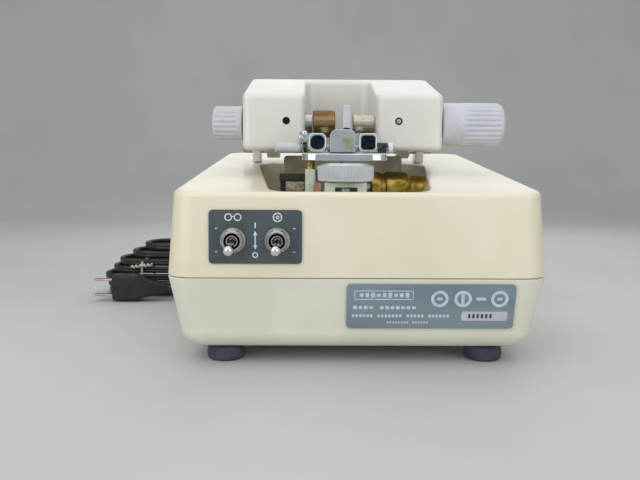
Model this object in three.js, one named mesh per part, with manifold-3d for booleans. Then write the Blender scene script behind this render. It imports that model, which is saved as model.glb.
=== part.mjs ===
// Automatic edge groover for spectacle lenses, as an assembly of separate pieces.
// Millimetres, +Z up. The operator's side faces -Y, and depths are counted from the front face.
import * as THREE from 'three';
import { mergeVertices } from 'three/addons/utils/BufferGeometryUtils.js';
import Module from 'manifold-3d';

const wasm = await Module();
wasm.setup();

// Overall sizes
const bodyWidth = 216;
const bodyDepth = 215;
const footHeight = 9;
const seamHeight = 52;
const coverFrontHeight = 99.2;
const coverRearHeight = 124;
const planRadius = 15;
const shellWall = 3;
const clearance = 0.3;

// Shell drafts and roundings
const coverDraft = 3;
const coverTaper = 0.08;
const coverEdgeRadius = 4.5;
const baseDraft = 6;
const baseEdgeRadius = 12;
const baseEdgeWidth = 13;

// Wet well, seen from above
const wellCentre = -4.5;
const wellTopWidth = 122;
const wellFrontWidth = 90;
const wellBottomWidth = 90;
const wellFront = 4.5;
const wellRear = 134;
const wellFrontSlope = 25.5;
const wellRearSlope = 6;
const wellFloorHeight = 82;
const wellRadius = 12;
const trayDepth = 22;
const trayWall = 2.5;

// Grooving wheel and its spindle, along X
const grooveX = -6.2;
const spindleY = 80;
const spindleZ = 98;
const spindleRadius = 4;
const wheelRadius = 25;
const wheelThickness = 1;
const flangeRadius = 9;
const flangeThickness = 3;
const housingRadius = 12;
const housingStart = 12;
const housingLength = 48;
const housingTaper = 2.5;
const pulleyWidth = 10;
const spindlePulleyRadius = 4.8;
const motorPulleyRadius = 7.2;
const beltThickness = 2;
const motorRadius = 20;
const motorLength = 66;
const motorZ = 37;

// Tilting head
const headLeftReach = 64.1;
const headRightReach = 63.2;
const headFront = 62;
const headRear = 132;
const headUnder = 123.5;
const headFrontTop = 158.5;
const headRearTop = 176;
const headEdgeRadius = 6;
const forkLeftReach = 24.4;
const forkRightReach = 20.9;
const forkDepth = 65;
const forkRadius = 8;
const pivotY = 147;
const pivotZ = 127;
const pivotShaftRadius = 4.5;
const lugRadius = 8;
const lugWidth = 10;
const bracketWidth = 6;
const headFloat = 3.5;

// Lens axis, along X
const lensY = 79;
const lensZ = 141;
const leftShaftRadius = 4;
const leftCollarRadius = 6;
const leftChuckRadius = 9;
const leftChuckLength = 14.4;
const rightChuckRadius = 6.5;
const rightChuckLength = 14.4;
const lensGap = 11.4;
const quillRadius = 5.5;
const quillScrewRadius = 3;
const leftKnobRadius = 11;
const leftKnobLength = 19.1;
const clampKnobRadius = 14;
const clampKnobLength = 40.4;
const clampCollarLength = 12.5;
const gearModule = 0.8;
const lensGearTeeth = 30;
const pinionTeeth = 20;
const gearWidth = 6;
const lensMotorRadius = 13;
const lensMotorLength = 16;
const grubScrewRadius = 2.8;

// Guide unit in front of the wheel
const guideY = 38;
const dialRadius = 17.3;
const dialBottom = 104.7;
const dialHeight = 11;
const dialStemRadius = 4;
const plateBottom = 117.1;
const plateThickness = 4;
const plateLength = 50.7;
const plateDepth = 24;
const restWidth = 15.2;
const restHeight = 14;
const fingerWidth = 5.2;
const fingerTop = 150;
const guideBlockSize = 10.6;
const guideBlockReach = 14.85;
const guideRodRadius = 1.6;
const springRadius = 3.2;
const springLengths = { left: 3.2, right: 6.6 };
const stopLengths = { left: 1, right: 2.8 };
const guideShift = -1.8;
const guideArmWidth = 4;

// Switches and plates on the front
const panelWidth = 51.4;
const panelHeight = 29.8;
const panelEdgeInset = 25.3;
const panelBottom = 60.3;
const plateSheet = 0.9;
const toggleSpacing = 24.5;
const toggleHeight = 73.4;
const toggleBushRadius = 5.8;
const toggleNutRadius = 7.2;
const toggleReach = 24;
const toggleAngle = 8;
const nameWidth = 94.6;
const nameHeight = 26.6;
const nameEdgeInset = 19.7;
const nameBottom = 23;

// Mains lead
const glandX = -60;
const glandZ = 24;
const glandLength = 24;
const cordWidth = 6;

const radians = Math.PI / 180;

// ---- shape helpers

// One closed body: shared corners merged, flat triangles dropped, faces outward.
function closed(geometry) {
  const bare = geometry.clone();
  bare.deleteAttribute('normal');
  bare.deleteAttribute('uv');
  const merged = mergeVertices(bare, 1e-3);
  const corners = merged.attributes.position;
  const kept = [];
  const a = new THREE.Vector3();
  const b = new THREE.Vector3();
  const c = new THREE.Vector3();
  let volume = 0;
  for (let i = 0; i < merged.index.count; i += 3) {
    const [p, q, r] = [0, 1, 2].map((k) => merged.index.getX(i + k));
    if (p !== q && q !== r && r !== p) {
      kept.push(p, q, r);
      a.fromBufferAttribute(corners, p);
      b.fromBufferAttribute(corners, q);
      c.fromBufferAttribute(corners, r);
      volume += a.dot(b.cross(c));
    }
  }
  merged.setIndex(volume < 0 ? kept.reverse() : kept);
  return merged;
}

function solid(geometry) {
  const body = closed(geometry);
  return new wasm.Manifold(new wasm.Mesh({
    numProp: 3,
    vertProperties: Float32Array.from(body.attributes.position.array),
    triVerts: Uint32Array.from(body.index.array),
  }));
}

function skinOf(body) {
  const mesh = body.getMesh();
  const geometry = new THREE.BufferGeometry();
  geometry.setAttribute('position', new THREE.BufferAttribute(Float32Array.from(mesh.vertProperties), 3));
  geometry.setIndex(Array.from(mesh.triVerts));
  return geometry;
}

function join(...pieces) {
  return skinOf(pieces.map(solid).reduce((sum, next) => sum.add(next)));
}

function cut(piece, ...tools) {
  return skinOf(tools.map(solid).reduce((rest, tool) => rest.subtract(tool), solid(piece)));
}

function common(piece, other) {
  return skinOf(solid(piece).intersect(solid(other)));
}

function block(x0, x1, y0, y1, z0, z1) {
  const box = new THREE.BoxGeometry(x1 - x0, y1 - y0, z1 - z0);
  return box.translate((x0 + x1) / 2, (y0 + y1) / 2, (z0 + z1) / 2);
}

// Solids of revolution: the profile lists [position along the axis, radius].
function turnedY(profile, x, z, sides = 20) {
  const points = profile.map(([along, radius]) => new THREE.Vector2(radius, along));
  return closed(new THREE.LatheGeometry(points, sides).translate(x, 0, z));
}

function turnedX(profile, y, z, sides = 20) {
  return turnedY(profile, 0, 0, sides).rotateZ(-Math.PI / 2).translate(0, y, z);
}

function turnedZ(profile, x, y, sides = 20) {
  return turnedY(profile, 0, 0, sides).rotateX(Math.PI / 2).translate(x, y, 0);
}

function rodProfile(from, to, radius) {
  return [[from, 0], [from, radius], [to, radius], [to, 0]];
}

function tubeProfile(from, to, radius, bore) {
  return [[from, bore], [from, radius], [to, radius], [to, bore], [from, bore]];
}

// Outline through corners [u, v, radius], each rounded by its own radius.
function outline(corners) {
  const shape = new THREE.Shape();
  corners.forEach(([u, v, radius], i) => {
    const corner = new THREE.Vector2(u, v);
    const before = new THREE.Vector2(...corners[(i + corners.length - 1) % corners.length]);
    const after = new THREE.Vector2(...corners[(i + 1) % corners.length]);
    const from = corner.clone().add(before.sub(corner).setLength(radius));
    const to = corner.clone().add(after.sub(corner).setLength(radius));
    if (i === 0) {
      shape.moveTo(from.x, from.y);
    } else {
      shape.lineTo(from.x, from.y);
    }
    if (radius > 0) {
      shape.quadraticCurveTo(corner.x, corner.y, to.x, to.y);
    }
  });
  shape.closePath();
  return shape;
}

function prismZ(shape, z0, z1, bevel = 0, curveSegments = 4) {
  const options = {
    depth: z1 - z0 - 2 * bevel,
    curveSegments,
    bevelEnabled: bevel > 0,
    bevelSize: bevel,
    bevelThickness: bevel,
    bevelOffset: -bevel,
    bevelSegments: 2,
  };
  return new THREE.ExtrudeGeometry(shape, options).translate(0, 0, z0 + bevel);
}

// The outline's (u, v) become (y, z), and the prism runs along X.
function prismX(shape, x0, x1, bevel = 0, curveSegments = 4) {
  const turn = new THREE.Matrix4().set(0, 0, 1, 0, 1, 0, 0, 0, 0, 1, 0, 0, 0, 0, 0, 1);
  return prismZ(shape, x0, x1, bevel, curveSegments).applyMatrix4(turn);
}

// The outline's (u, v) become (x, z), and the prism runs along Y.
function prismY(shape, y0, y1, bevel = 0, curveSegments = 4) {
  const turn = new THREE.Matrix4().set(1, 0, 0, 0, 0, 0, 1, 0, 0, 1, 0, 0, 0, 0, 0, 1);
  return closed(prismZ(shape, y0, y1, bevel, curveSegments).applyMatrix4(turn));
}

function plateOutline(width, height, radius) {
  const [u, v] = [width / 2, height / 2];
  return outline([[-u, -v, radius], [u, -v, radius], [u, v, radius], [-u, v, radius]]);
}

// Ring of points round a rectangle with round corners; heightAt gives each point's height from its depth.
function ring(x0, x1, y0, y1, radius, heightAt, perCorner = 4) {
  const centres = [[x1 - radius, y1 - radius], [x0 + radius, y1 - radius], [x0 + radius, y0 + radius],
    [x1 - radius, y0 + radius]];
  const points = [];
  centres.forEach(([cx, cy], corner) => {
    for (let k = 0; k <= perCorner; k += 1) {
      const angle = (corner + k / perCorner) * Math.PI / 2;
      const y = cy + radius * Math.sin(angle);
      points.push(new THREE.Vector3(cx + radius * Math.cos(angle), y, heightAt(y)));
    }
  });
  return points;
}

// Skin through a stack of rings with equal counts, capped at both ends.
function loft(rings) {
  const count = rings[0].length;
  const index = [];
  for (let level = 0; level + 1 < rings.length; level += 1) {
    for (let i = 0; i < count; i += 1) {
      const here = level * count + i;
      const next = level * count + (i + 1) % count;
      index.push(here, next, next + count, here, next + count, here + count);
    }
  }
  const last = (rings.length - 1) * count;
  for (let i = 1; i + 1 < count; i += 1) {
    index.push(0, i + 1, i, last, last + i, last + i + 1);
  }
  const geometry = new THREE.BufferGeometry().setFromPoints(rings.flat());
  geometry.setIndex(index);
  return closed(geometry);
}

// ---- finishes

function finish(color, roughness, metalness = 0) {
  return new THREE.MeshStandardMaterial({ color, roughness, metalness });
}

const finishes = {
  coverPaint: finish(0xe2e1cc, 0.3),
  basePaint: finish(0xcfd0c2, 0.35),
  headPaint: finish(0xdcdfdf, 0.3),
  bracketPaint: finish(0xa9b2a0, 0.45),
  rubber: finish(0x4a4f58, 0.85),
  slatePlate: finish(0x3f4f54, 0.45),
  namePlate: finish(0x707f84, 0.45),
  greyPlastic: finish(0xc9ccd2, 0.45),
  dialMetal: finish(0xc5c8cb, 0.4, 0.6),
  chrome: finish(0xd5dade, 0.12, 1),
  steel: finish(0xa8abad, 0.3, 1),
  brass: finish(0xa88c4a, 0.35, 1),
  nickel: finish(0xbbb9ac, 0.3, 1),
  blackPlastic: finish(0x1b1e16, 0.5),
  springSteel: finish(0x3a3633, 0.4, 1),
  sponge: finish(0xb6b096, 0.95),
  greyTray: finish(0xb9b9ae, 0.5),
  abrasive: finish(0x6b6a66, 0.8, 0.3),
  beltRubber: finish(0x222222, 0.8),
  cordRubber: finish(0x17181a, 0.5),
};

const assembly = new THREE.Group();

function part(name, geometry, material) {
  const mesh = new THREE.Mesh(closed(geometry), material);
  mesh.name = name;
  assembly.add(mesh);
}

// ---- body shells

// The cover's top is a plane that rises towards the rear.
function topHeight(y) {
  return coverFrontHeight + (coverRearHeight - coverFrontHeight) * y / bodyDepth;
}

function coverInset(z) {
  return coverDraft * (z - seamHeight) / (coverFrontHeight - seamHeight);
}

// Outer or inner skin of the cover; wall is how far it stands inside the outer one.
// Its top narrows towards the rear.
function coverSkin(wall, bottom) {
  const half = bodyWidth / 2;
  const ringAt = (inset, heightAt, taper = 0) => {
    const points = ring(-half + inset, half - inset, inset, bodyDepth - inset, planRadius - wall / 2, heightAt);
    points.forEach((point) => {
      point.x *= 1 - taper * point.y / bodyDepth;
    });
    return points;
  };
  const rings = [ringAt(wall, () => bottom)];
  for (let step = 0; step <= 4; step += 1) {
    const angle = step / 4 * Math.PI / 2;
    const drop = coverEdgeRadius * (1 - Math.sin(angle)) + wall;
    const inset = wall + coverDraft + coverEdgeRadius * (1 - Math.cos(angle));
    rings.push(ringAt(inset, (y) => topHeight(y) - drop, coverTaper));
  }
  return loft(rings);
}

// Sloping well through the cover; grow widens it on every side.
function wellSkin(grow, bottom, top) {
  const ringAt = (width, slope, z) => {
    const points = ring(-width / 2 - grow, width / 2 + grow, wellFront + wellFrontSlope * slope - grow,
      wellRear - wellRearSlope * slope + grow, wellRadius + grow, () => z);
    points.forEach((point) => {
      const forward = Math.min(1, (wellRear - point.y) / (wellRear - wellFront));
      point.x = wellCentre + point.x * (1 - forward * (1 - wellFrontWidth / width));
    });
    return points;
  };
  const mid = (wellTopWidth + wellBottomWidth) / 2 - 4;
  return loft([
    ringAt(wellBottomWidth, 1, bottom),
    ringAt(wellBottomWidth, 1, wellFloorHeight + 4),
    ringAt(mid, 0.5, (wellFloorHeight + coverFrontHeight) / 2 + 2),
    ringAt(wellTopWidth, 0, coverFrontHeight + 5),
    ringAt(wellTopWidth, 0, top),
  ]);
}

const toggleXs = [0, 1].map((i) => -bodyWidth / 2 + panelEdgeInset + 13.4 + i * toggleSpacing);

function coverShape() {
  const hollow = coverSkin(shellWall, seamHeight - 1);
  const above = coverRearHeight + 10;
  const funnel = common(wellSkin(shellWall, wellFloorHeight, above), coverSkin(0, seamHeight + clearance));
  const shell = cut(coverSkin(0, seamHeight + clearance), hollow);
  const housingHole = rodX(housingStart, housingStart + housingLength + 4, spindleY, spindleZ,
    housingRadius - housingTaper + clearance);
  const toggleHoles = toggleXs.map((x) => rodY(-5, shellWall * 4, x, toggleHeight, toggleBushRadius + clearance));
  return cut(join(shell, funnel), wellSkin(0, seamHeight, above), housingHole, ...toggleHoles);
}

function rodX(x0, x1, y, z, radius, sides = 20) {
  return turnedX(rodProfile(x0, x1, radius), y, z, sides);
}

function rodY(y0, y1, x, z, radius, sides = 16) {
  return turnedY(rodProfile(y0, y1, radius), x, z, sides);
}

function rodZ(z0, z1, x, y, radius, sides = 16) {
  return turnedZ(rodProfile(z0, z1, radius), x, y, sides);
}

// Outer or inner skin of the base tub.
function baseSkin(wall, top) {
  const half = bodyWidth / 2;
  const bottom = footHeight + clearance + wall;
  const ringAt = (inset, z) => ring(-half + inset, half - inset, inset, bodyDepth - inset,
    planRadius - wall / 2, () => z);
  const rings = [];
  for (let step = 0; step <= 6; step += 1) {
    const angle = (1 - step / 6) * Math.PI / 2;
    const inset = wall + baseDraft + baseEdgeWidth * (1 - Math.cos(angle));
    rings.push(ringAt(inset, bottom + baseEdgeRadius * (1 - Math.sin(angle))));
  }
  rings.push(ringAt(wall, top));
  return loft(rings);
}

part('lower_base', cut(
  baseSkin(0, seamHeight),
  baseSkin(shellWall, seamHeight + 2),
  rodY(bodyDepth - 20, bodyDepth + 5, glandX, glandZ, 4 + clearance),
), finishes.basePaint);
part('upper_cover', coverShape(), finishes.coverPaint);

const footXs = [-1, 1].map((side) => side * (bodyWidth / 2 - 31));
const footYs = [26, bodyDepth - 26];
footYs.forEach((y, row) => footXs.forEach((x, column) => {
  const name = `${['front', 'rear'][row]}_${['left', 'right'][column]}_foot`;
  part(name, turnedZ([[0, 0], [0, 9.8], [1.5, 11.3], [footHeight, 10.8], [footHeight, 0]], x, y), finishes.rubber);
}));

// Tray that catches the water, hung under the well.
const trayTop = wellFloorHeight - clearance;
const trayBottom = trayTop - trayDepth;
function traySkin(wall, bottom, top) {
  const half = wellBottomWidth / 2 + 4 - wall;
  const front = wellFront + wellFrontSlope - 2 + wall;
  const ringAt = (z) => ring(wellCentre - half, wellCentre + half, front, wellRear - 2 - wall,
    wellRadius - wall, () => z);
  return loft([ringAt(bottom), ringAt(top)]);
}
part('water_tray', cut(traySkin(0, trayBottom, trayTop), traySkin(trayWall, trayBottom + trayWall, trayTop + 2)),
  finishes.greyTray);

const chassisTop = footHeight + clearance + shellWall + clearance + 2.4;
part('chassis_plate', prismZ(plateOutline(bodyWidth - 64, bodyDepth - 72, 10), chassisTop - 2.1, chassisTop)
  .translate(0, bodyDepth / 2, 0), finishes.steel);

// ---- front plates and switches

const panelTilt = Math.atan(coverDraft / (coverFrontHeight - seamHeight));
const panelX = -bodyWidth / 2 + panelEdgeInset + panelWidth / 2;
const panelZ = panelBottom + panelHeight / 2;
const panelFace = -plateSheet - clearance;
part('switch_panel', cut(
  prismY(plateOutline(panelWidth, panelHeight, 2.6), panelFace, -clearance).rotateX(-panelTilt)
    .translate(panelX, coverInset(panelZ), panelZ),
  ...toggleXs.map((x) => rodY(-8, 8, x, toggleHeight, toggleBushRadius + clearance)),
), finishes.slatePlate);

const nameTilt = Math.atan(baseDraft / (seamHeight - footHeight - baseEdgeRadius));
const nameZ = nameBottom + nameHeight / 2;
const nameX = bodyWidth / 2 - nameEdgeInset - nameWidth / 2;
const nameInset = baseDraft * (seamHeight - nameZ) / (seamHeight - footHeight - baseEdgeRadius);
part('name_plate', prismY(plateOutline(nameWidth, nameHeight, 2.4), panelFace, -clearance)
  .rotateX(nameTilt).translate(nameX, nameInset - clearance / 2, nameZ), finishes.namePlate);

// Toggle switch: body and threaded bush behind the cover, round nut in front, lever in the bush.
function toggleBody(x) {
  const body = block(x - 7, x + 7, shellWall * 2 + 1.2, 26, toggleHeight - 12, toggleHeight + 12);
  const bush = turnedY([[-6, 3.2], [-6, toggleBushRadius - 0.6], [-5.4, toggleBushRadius], [10, toggleBushRadius],
    [10, 0], [4, 0], [4, 3.2], [-6, 3.2]], x, toggleHeight, 20);
  return join(body, bush);
}

function toggleNut(x) {
  const bore = toggleBushRadius + clearance;
  const back = panelFace + coverInset(toggleHeight) - 0.7;
  return turnedY([[back, bore], [back, toggleNutRadius], [back - 2.2, toggleNutRadius],
    [back - 3, toggleNutRadius - 0.8], [back - 3, bore], [back, bore]], x, toggleHeight, 20);
}

// The lever pivots inside the bush and rests tipped down.
function toggleLever(x) {
  const lever = turnedY([[2.2, 0], [1.6, 1.8], [0, 2.4], [-2, 1.7], [-toggleReach + 7, 1.9],
    [-toggleReach + 4, 2.7], [-toggleReach + 1.6, 2.6], [-toggleReach, 0]], 0, 0, 16);
  return lever.rotateX(toggleAngle * radians).translate(x, 0, toggleHeight);
}

['lens', 'wheel'].forEach((name, i) => {
  part(`${name}_switch`, toggleBody(toggleXs[i]), finishes.steel);
  part(`${name}_switch_nut`, toggleNut(toggleXs[i]), finishes.chrome);
  part(`${name}_switch_lever`, toggleLever(toggleXs[i]), finishes.chrome);
});

// ---- wheel drive

const pulleyX = housingStart + housingLength + 8;
const wheelFace = grooveX + wheelThickness / 2;
const spindleBore = spindleRadius + clearance;

part('grooving_wheel', turnedX(tubeProfile(grooveX - wheelThickness / 2, wheelFace, wheelRadius, spindleBore),
  spindleY, spindleZ, 32), finishes.abrasive);
const nutFace = grooveX - wheelThickness / 2 - clearance;
part('wheel_nut', turnedX(tubeProfile(nutFace - flangeThickness, nutFace, flangeRadius, spindleBore),
  spindleY, spindleZ), finishes.steel);
const flangeStart = wheelFace + clearance;
// The radius is that of the line along the belt's inner face.
function pulley(radius, y, z) {
  const rim = radius + beltThickness / 2;
  const end = pulleyX + pulleyWidth;
  return turnedX([[pulleyX, 0], [pulleyX, rim], [pulleyX + 1.6, rim], [pulleyX + 2.2, radius],
    [end - 2.2, radius], [end - 1.6, rim], [end, rim], [end, 0]], y, z);
}
part('wheel_spindle', join(
  turnedX([[nutFace - flangeThickness - 2, 0], [nutFace - flangeThickness - 2, spindleRadius],
    [flangeStart, spindleRadius], [flangeStart, flangeRadius], [flangeStart + flangeThickness, flangeRadius],
    [flangeStart + flangeThickness, spindleRadius], [pulleyX + pulleyWidth + 2, spindleRadius],
    [pulleyX + pulleyWidth + 2, 0]], spindleY, spindleZ),
  pulley(spindlePulleyRadius, spindleY, spindleZ),
), finishes.steel);

// Brass housing with a ring groove and a tapered end, carried in the well's wall.
const housingEnd = housingStart + housingLength;
part('spindle_housing', turnedX([[housingStart, spindleBore], [housingStart, housingRadius - 0.8],
  [housingStart + 0.8, housingRadius], [housingStart + 7, housingRadius], [housingStart + 7.6, housingRadius - 1.2],
  [housingStart + 9.6, housingRadius - 1.2], [housingStart + 10.2, housingRadius],
  [housingStart + 22, housingRadius], [housingStart + 26.5, housingRadius - housingTaper],
  [housingEnd, housingRadius - housingTaper], [housingEnd, spindleBore], [housingStart, spindleBore]],
spindleY, spindleZ, 24),
finishes.brass);

const motorEnd = pulleyX - 4;
const motorBody = motorEnd - motorLength;
part('wheel_motor', join(
  turnedX([[motorBody, 0], [motorBody, motorRadius - 3], [motorBody + 3, motorRadius], [motorEnd - 3, motorRadius],
    [motorEnd, motorRadius - 3], [motorEnd, 0]], spindleY, motorZ, 28),
  block(motorBody + 12, motorEnd - 12, spindleY - 24, spindleY + 24, chassisTop + clearance, chassisTop + 3.3),
  block(motorBody + 12, motorEnd - 12, spindleY - 12, spindleY + 12, chassisTop + clearance, motorZ),
), finishes.blackPlastic);
part('motor_pulley', join(
  pulley(motorPulleyRadius, spindleY, motorZ),
  rodX(motorEnd + clearance, pulleyX + pulleyWidth + 1, spindleY, motorZ, 3, 20),
), finishes.steel);

// Flat belt: the band between two offset copies of the line round both pulleys.
function beltOutline(offset) {
  const shape = new THREE.Shape();
  const lower = motorPulleyRadius + clearance + offset;
  const upper = spindlePulleyRadius + clearance + offset;
  const lean = Math.asin((motorPulleyRadius - spindlePulleyRadius) / (spindleZ - motorZ));
  shape.absarc(spindleY, spindleZ, upper, lean, Math.PI - lean, false);
  shape.absarc(spindleY, motorZ, lower, Math.PI - lean, 2 * Math.PI + lean, false);
  shape.closePath();
  return shape;
}
function beltShape() {
  const [x0, x1] = [pulleyX + 3, pulleyX + pulleyWidth - 3];
  return cut(prismX(beltOutline(beltThickness), x0, x1, 0, 8), prismX(beltOutline(0), x0 - 1, x1 + 1, 0, 8));
}
part('drive_belt', beltShape(), finishes.beltRubber);

// ---- guide unit

const guideHalf = plateDepth / 2;
const plateTop = plateBottom + plateThickness;
const bracketFoot = trayBottom + trayWall + clearance;
const bracketTop = dialBottom - clearance;
const plateCentre = grooveX - 0.5;
const earLeft = plateCentre - plateLength / 2 + 2;
const earPinX = earLeft + 3;

function bracketShape() {
  const ledge = wellFloorHeight + 7.5;
  const column = block(grooveX - 12.5, grooveX + 12.5, guideY - guideHalf, guideY + guideHalf, ledge, bracketTop);
  const leg = block(earLeft, grooveX + 12.5, guideY - 4, guideY + guideHalf, bracketFoot, ledge + 4);
  const ear = block(earLeft, earLeft + 6, guideY - 8, guideY + 8, ledge, plateBottom - 5);
  const stemHole = rodZ(bracketTop - 22, bracketTop + 1, grooveX, guideY, dialStemRadius + clearance);
  const window = block(grooveX - 6, grooveX + 6, guideY - guideHalf - 1, guideY, bracketTop - 12, bracketTop - 3);
  const pinHole = rodZ(bracketTop - 14, plateBottom, earPinX, guideY, 2.6 + clearance);
  return cut(join(column, leg, ear), stemHole, window, pinHole);
}
part('guide_bracket', bracketShape(), finishes.bracketPaint);

// Knurled depth dial on its screw stem.
part('depth_dial', turnedZ([[bracketTop - 20, 0], [bracketTop - 20, dialStemRadius], [dialBottom, dialStemRadius],
  [dialBottom, dialRadius - 0.8], [dialBottom + 0.8, dialRadius], [dialBottom + dialHeight - 1.6, dialRadius],
  [dialBottom + dialHeight, dialRadius - 1.6], [dialBottom + dialHeight, 0]], grooveX, guideY, 32),
finishes.dialMetal);

// Cross plate with round ends that the dial raises.
part('guide_plate', prismZ(plateOutline(plateLength, plateDepth, plateDepth * 0.45), plateBottom, plateTop)
  .translate(plateCentre, guideY, 0), finishes.chrome);
part('guide_stand_off', rodZ(bracketTop - 13, plateBottom - clearance, earPinX, guideY, 2.6), finishes.brass);

// Centre block with the upright finger that keeps hands off the wheel.
const guideX = grooveX + guideShift;
const restBase = plateTop + clearance;
const restTop = restBase + restHeight;
const rodHoleZ = restBase + springRadius + clearance;
part('edge_rest', cut(join(
  prismY(outline([[-restWidth / 2, 0, 0], [restWidth / 2, 0, 0], [restWidth / 2, restHeight, 3.4],
    [-restWidth / 2, restHeight, 3.4]]), guideY - 9, guideY + 6).translate(guideX, 0, restBase),
  block(grooveX + 0.7 - fingerWidth / 2, grooveX + 0.7 + fingerWidth / 2, guideY - 1, guideY + 5, restTop - 1,
    fingerTop),
), rodX(-60, 60, guideY, rodHoleZ, guideRodRadius + clearance)), finishes.dialMetal);

// Lateral rod with a stop ring at each end; the guide arms slide on it against the springs.
const sides = { left: -1, right: 1 };
const springStart = guideBlockReach + guideBlockSize / 2 + 0.4;
function ringSpan(name) {
  const start = springStart + springLengths[name] + clearance;
  return [start, start + stopLengths[name]];
}

// From and to along the rod, counted outwards from the unit's middle, in rising X.
function spanX(name, from, to) {
  return [sides[name] * from, sides[name] * to].map((x) => guideX + x).sort((a, b) => a - b);
}

function springTube(name) {
  const [x0, x1] = spanX(name, springStart, springStart + springLengths[name]);
  return turnedX(tubeProfile(x0, x1, springRadius, springRadius - 1), guideY, rodHoleZ, 16);
}

function stopRing(name) {
  return rodX(...spanX(name, ...ringSpan(name)), guideY, rodHoleZ, springRadius);
}

const knobFace = guideX - ringSpan('left')[1] - clearance;
const knobEnd = knobFace - 15;
part('guide_rod', join(
  rodX(knobEnd + 3 + clearance, guideX + ringSpan('right')[1] + 1, guideY, rodHoleZ, guideRodRadius, 16),
  stopRing('left'),
  stopRing('right'),
), finishes.steel);
part('guide_knob', turnedX([[knobEnd, 0], [knobEnd, 2.6], [knobEnd + 0.8, 3.2], [knobFace, 3.2],
  [knobFace, guideRodRadius + clearance], [knobEnd + 3, guideRodRadius + clearance], [knobEnd + 3, 0]],
guideY, rodHoleZ, 18), finishes.dialMetal);

// Guide arm: square block with a round nose, an arm back to the wheel and a tip beside the lens edge.
function guideArm(name) {
  const side = sides[name];
  const at = guideX + side * guideBlockReach;
  const half = guideBlockSize / 2;
  const low = plateTop + 1.4;
  const mid = low + half;
  const armX = grooveX + side * 11.5;
  const armHalf = guideArmWidth / 2;
  const square = prismY(plateOutline(guideBlockSize, guideBlockSize, 1.6), guideY - 8, guideY + 6)
    .translate(at, 0, mid);
  const nose = rodY(guideY - 9.2, guideY - 7, at, mid, half - 0.7, 24);
  const arm = block(armX - armHalf, armX + armHalf, guideY + 4, spindleY, low, low + guideArmWidth);
  const [tip0, tip1] = [side * 1.9, side * 10].map((x) => grooveX + x).sort((a, b) => a - b);
  const tip = rodX(tip0, tip1, spindleY - armHalf - 0.3, low + armHalf, armHalf - 0.2, 12);
  const bore = rodX(at - 10, at + 10, guideY, rodHoleZ, guideRodRadius + clearance);
  return cut(join(square, nose, arm, tip), bore);
}

Object.keys(sides).forEach((name) => {
  part(`${name}_guide_arm`, guideArm(name), finishes.chrome);
  part(`${name}_guide_spring`, springTube(name), finishes.springSteel);
});

// Sponge that wets the wheel's left side, its holder bar, and the splash baffle behind the wheel.
const wellLeft = wellCentre - wellBottomWidth / 2;
part('sponge_holder', join(
  block(wellLeft + 3.5, wellLeft + 19.2, 46, 54, 104.6, 109.2),
  block(wellLeft + 4, wellLeft + 7, 48, 52, bracketFoot, 105),
  block(wellLeft + 4, wellLeft + 19, 44, 60, 95.6, 97.6),
), finishes.blackPlastic);
part('sponge', prismZ(plateOutline(11.6, 16, 2), 97.9, 104.2).translate(wellLeft + 13.3, 52, 0), finishes.sponge);
part('splash_baffle', block(wellLeft + 3.5, wellLeft + wellBottomWidth - 3.5, spindleY + wheelRadius + 4,
  spindleY + wheelRadius + 6, bracketFoot, headUnder - 3), finishes.greyTray);

// ---- tilting head

const headLeft = grooveX - headLeftReach;
const headRight = grooveX + headRightReach;
const forkLeft = grooveX - forkLeftReach;
const forkRight = grooveX + forkRightReach;
const headSlope = (headRearTop - headFrontTop) / (headRear - headFront);
const lugXs = [headLeft + 10, headRight - 10 - lugWidth];
const lensGearRadius = gearModule * lensGearTeeth / 2;
const pinionRadius = gearModule * pinionTeeth / 2;
const pinionY = lensY + lensGearRadius + pinionRadius;
const gearX = headLeft + 9;
const gearboxFront = lensY - lensGearRadius - gearModule - 1.2;
const gearboxRear = pinionY + lensMotorRadius + 2;
const gearboxBottom = headUnder + 2.4;

// Side view of the head, u along Y and v up.
function headOutline(radius) {
  return outline([[headFront, headUnder, radius], [headRear, headUnder, radius],
    [headRear, headRearTop, radius], [headFront, headFrontTop, radius]]);
}

function lug(x) {
  const arm = outline([[headRear - 12, headUnder + 4, 0.5], [pivotY, pivotZ - lugRadius, 0.5],
    [pivotY, pivotZ + lugRadius, 0.5], [headRear - 12, headUnder + 26, 0.5]]);
  return join(prismX(arm, x, x + lugWidth), rodX(x, x + lugWidth, pivotY, pivotZ, lugRadius, 32));
}

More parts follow.
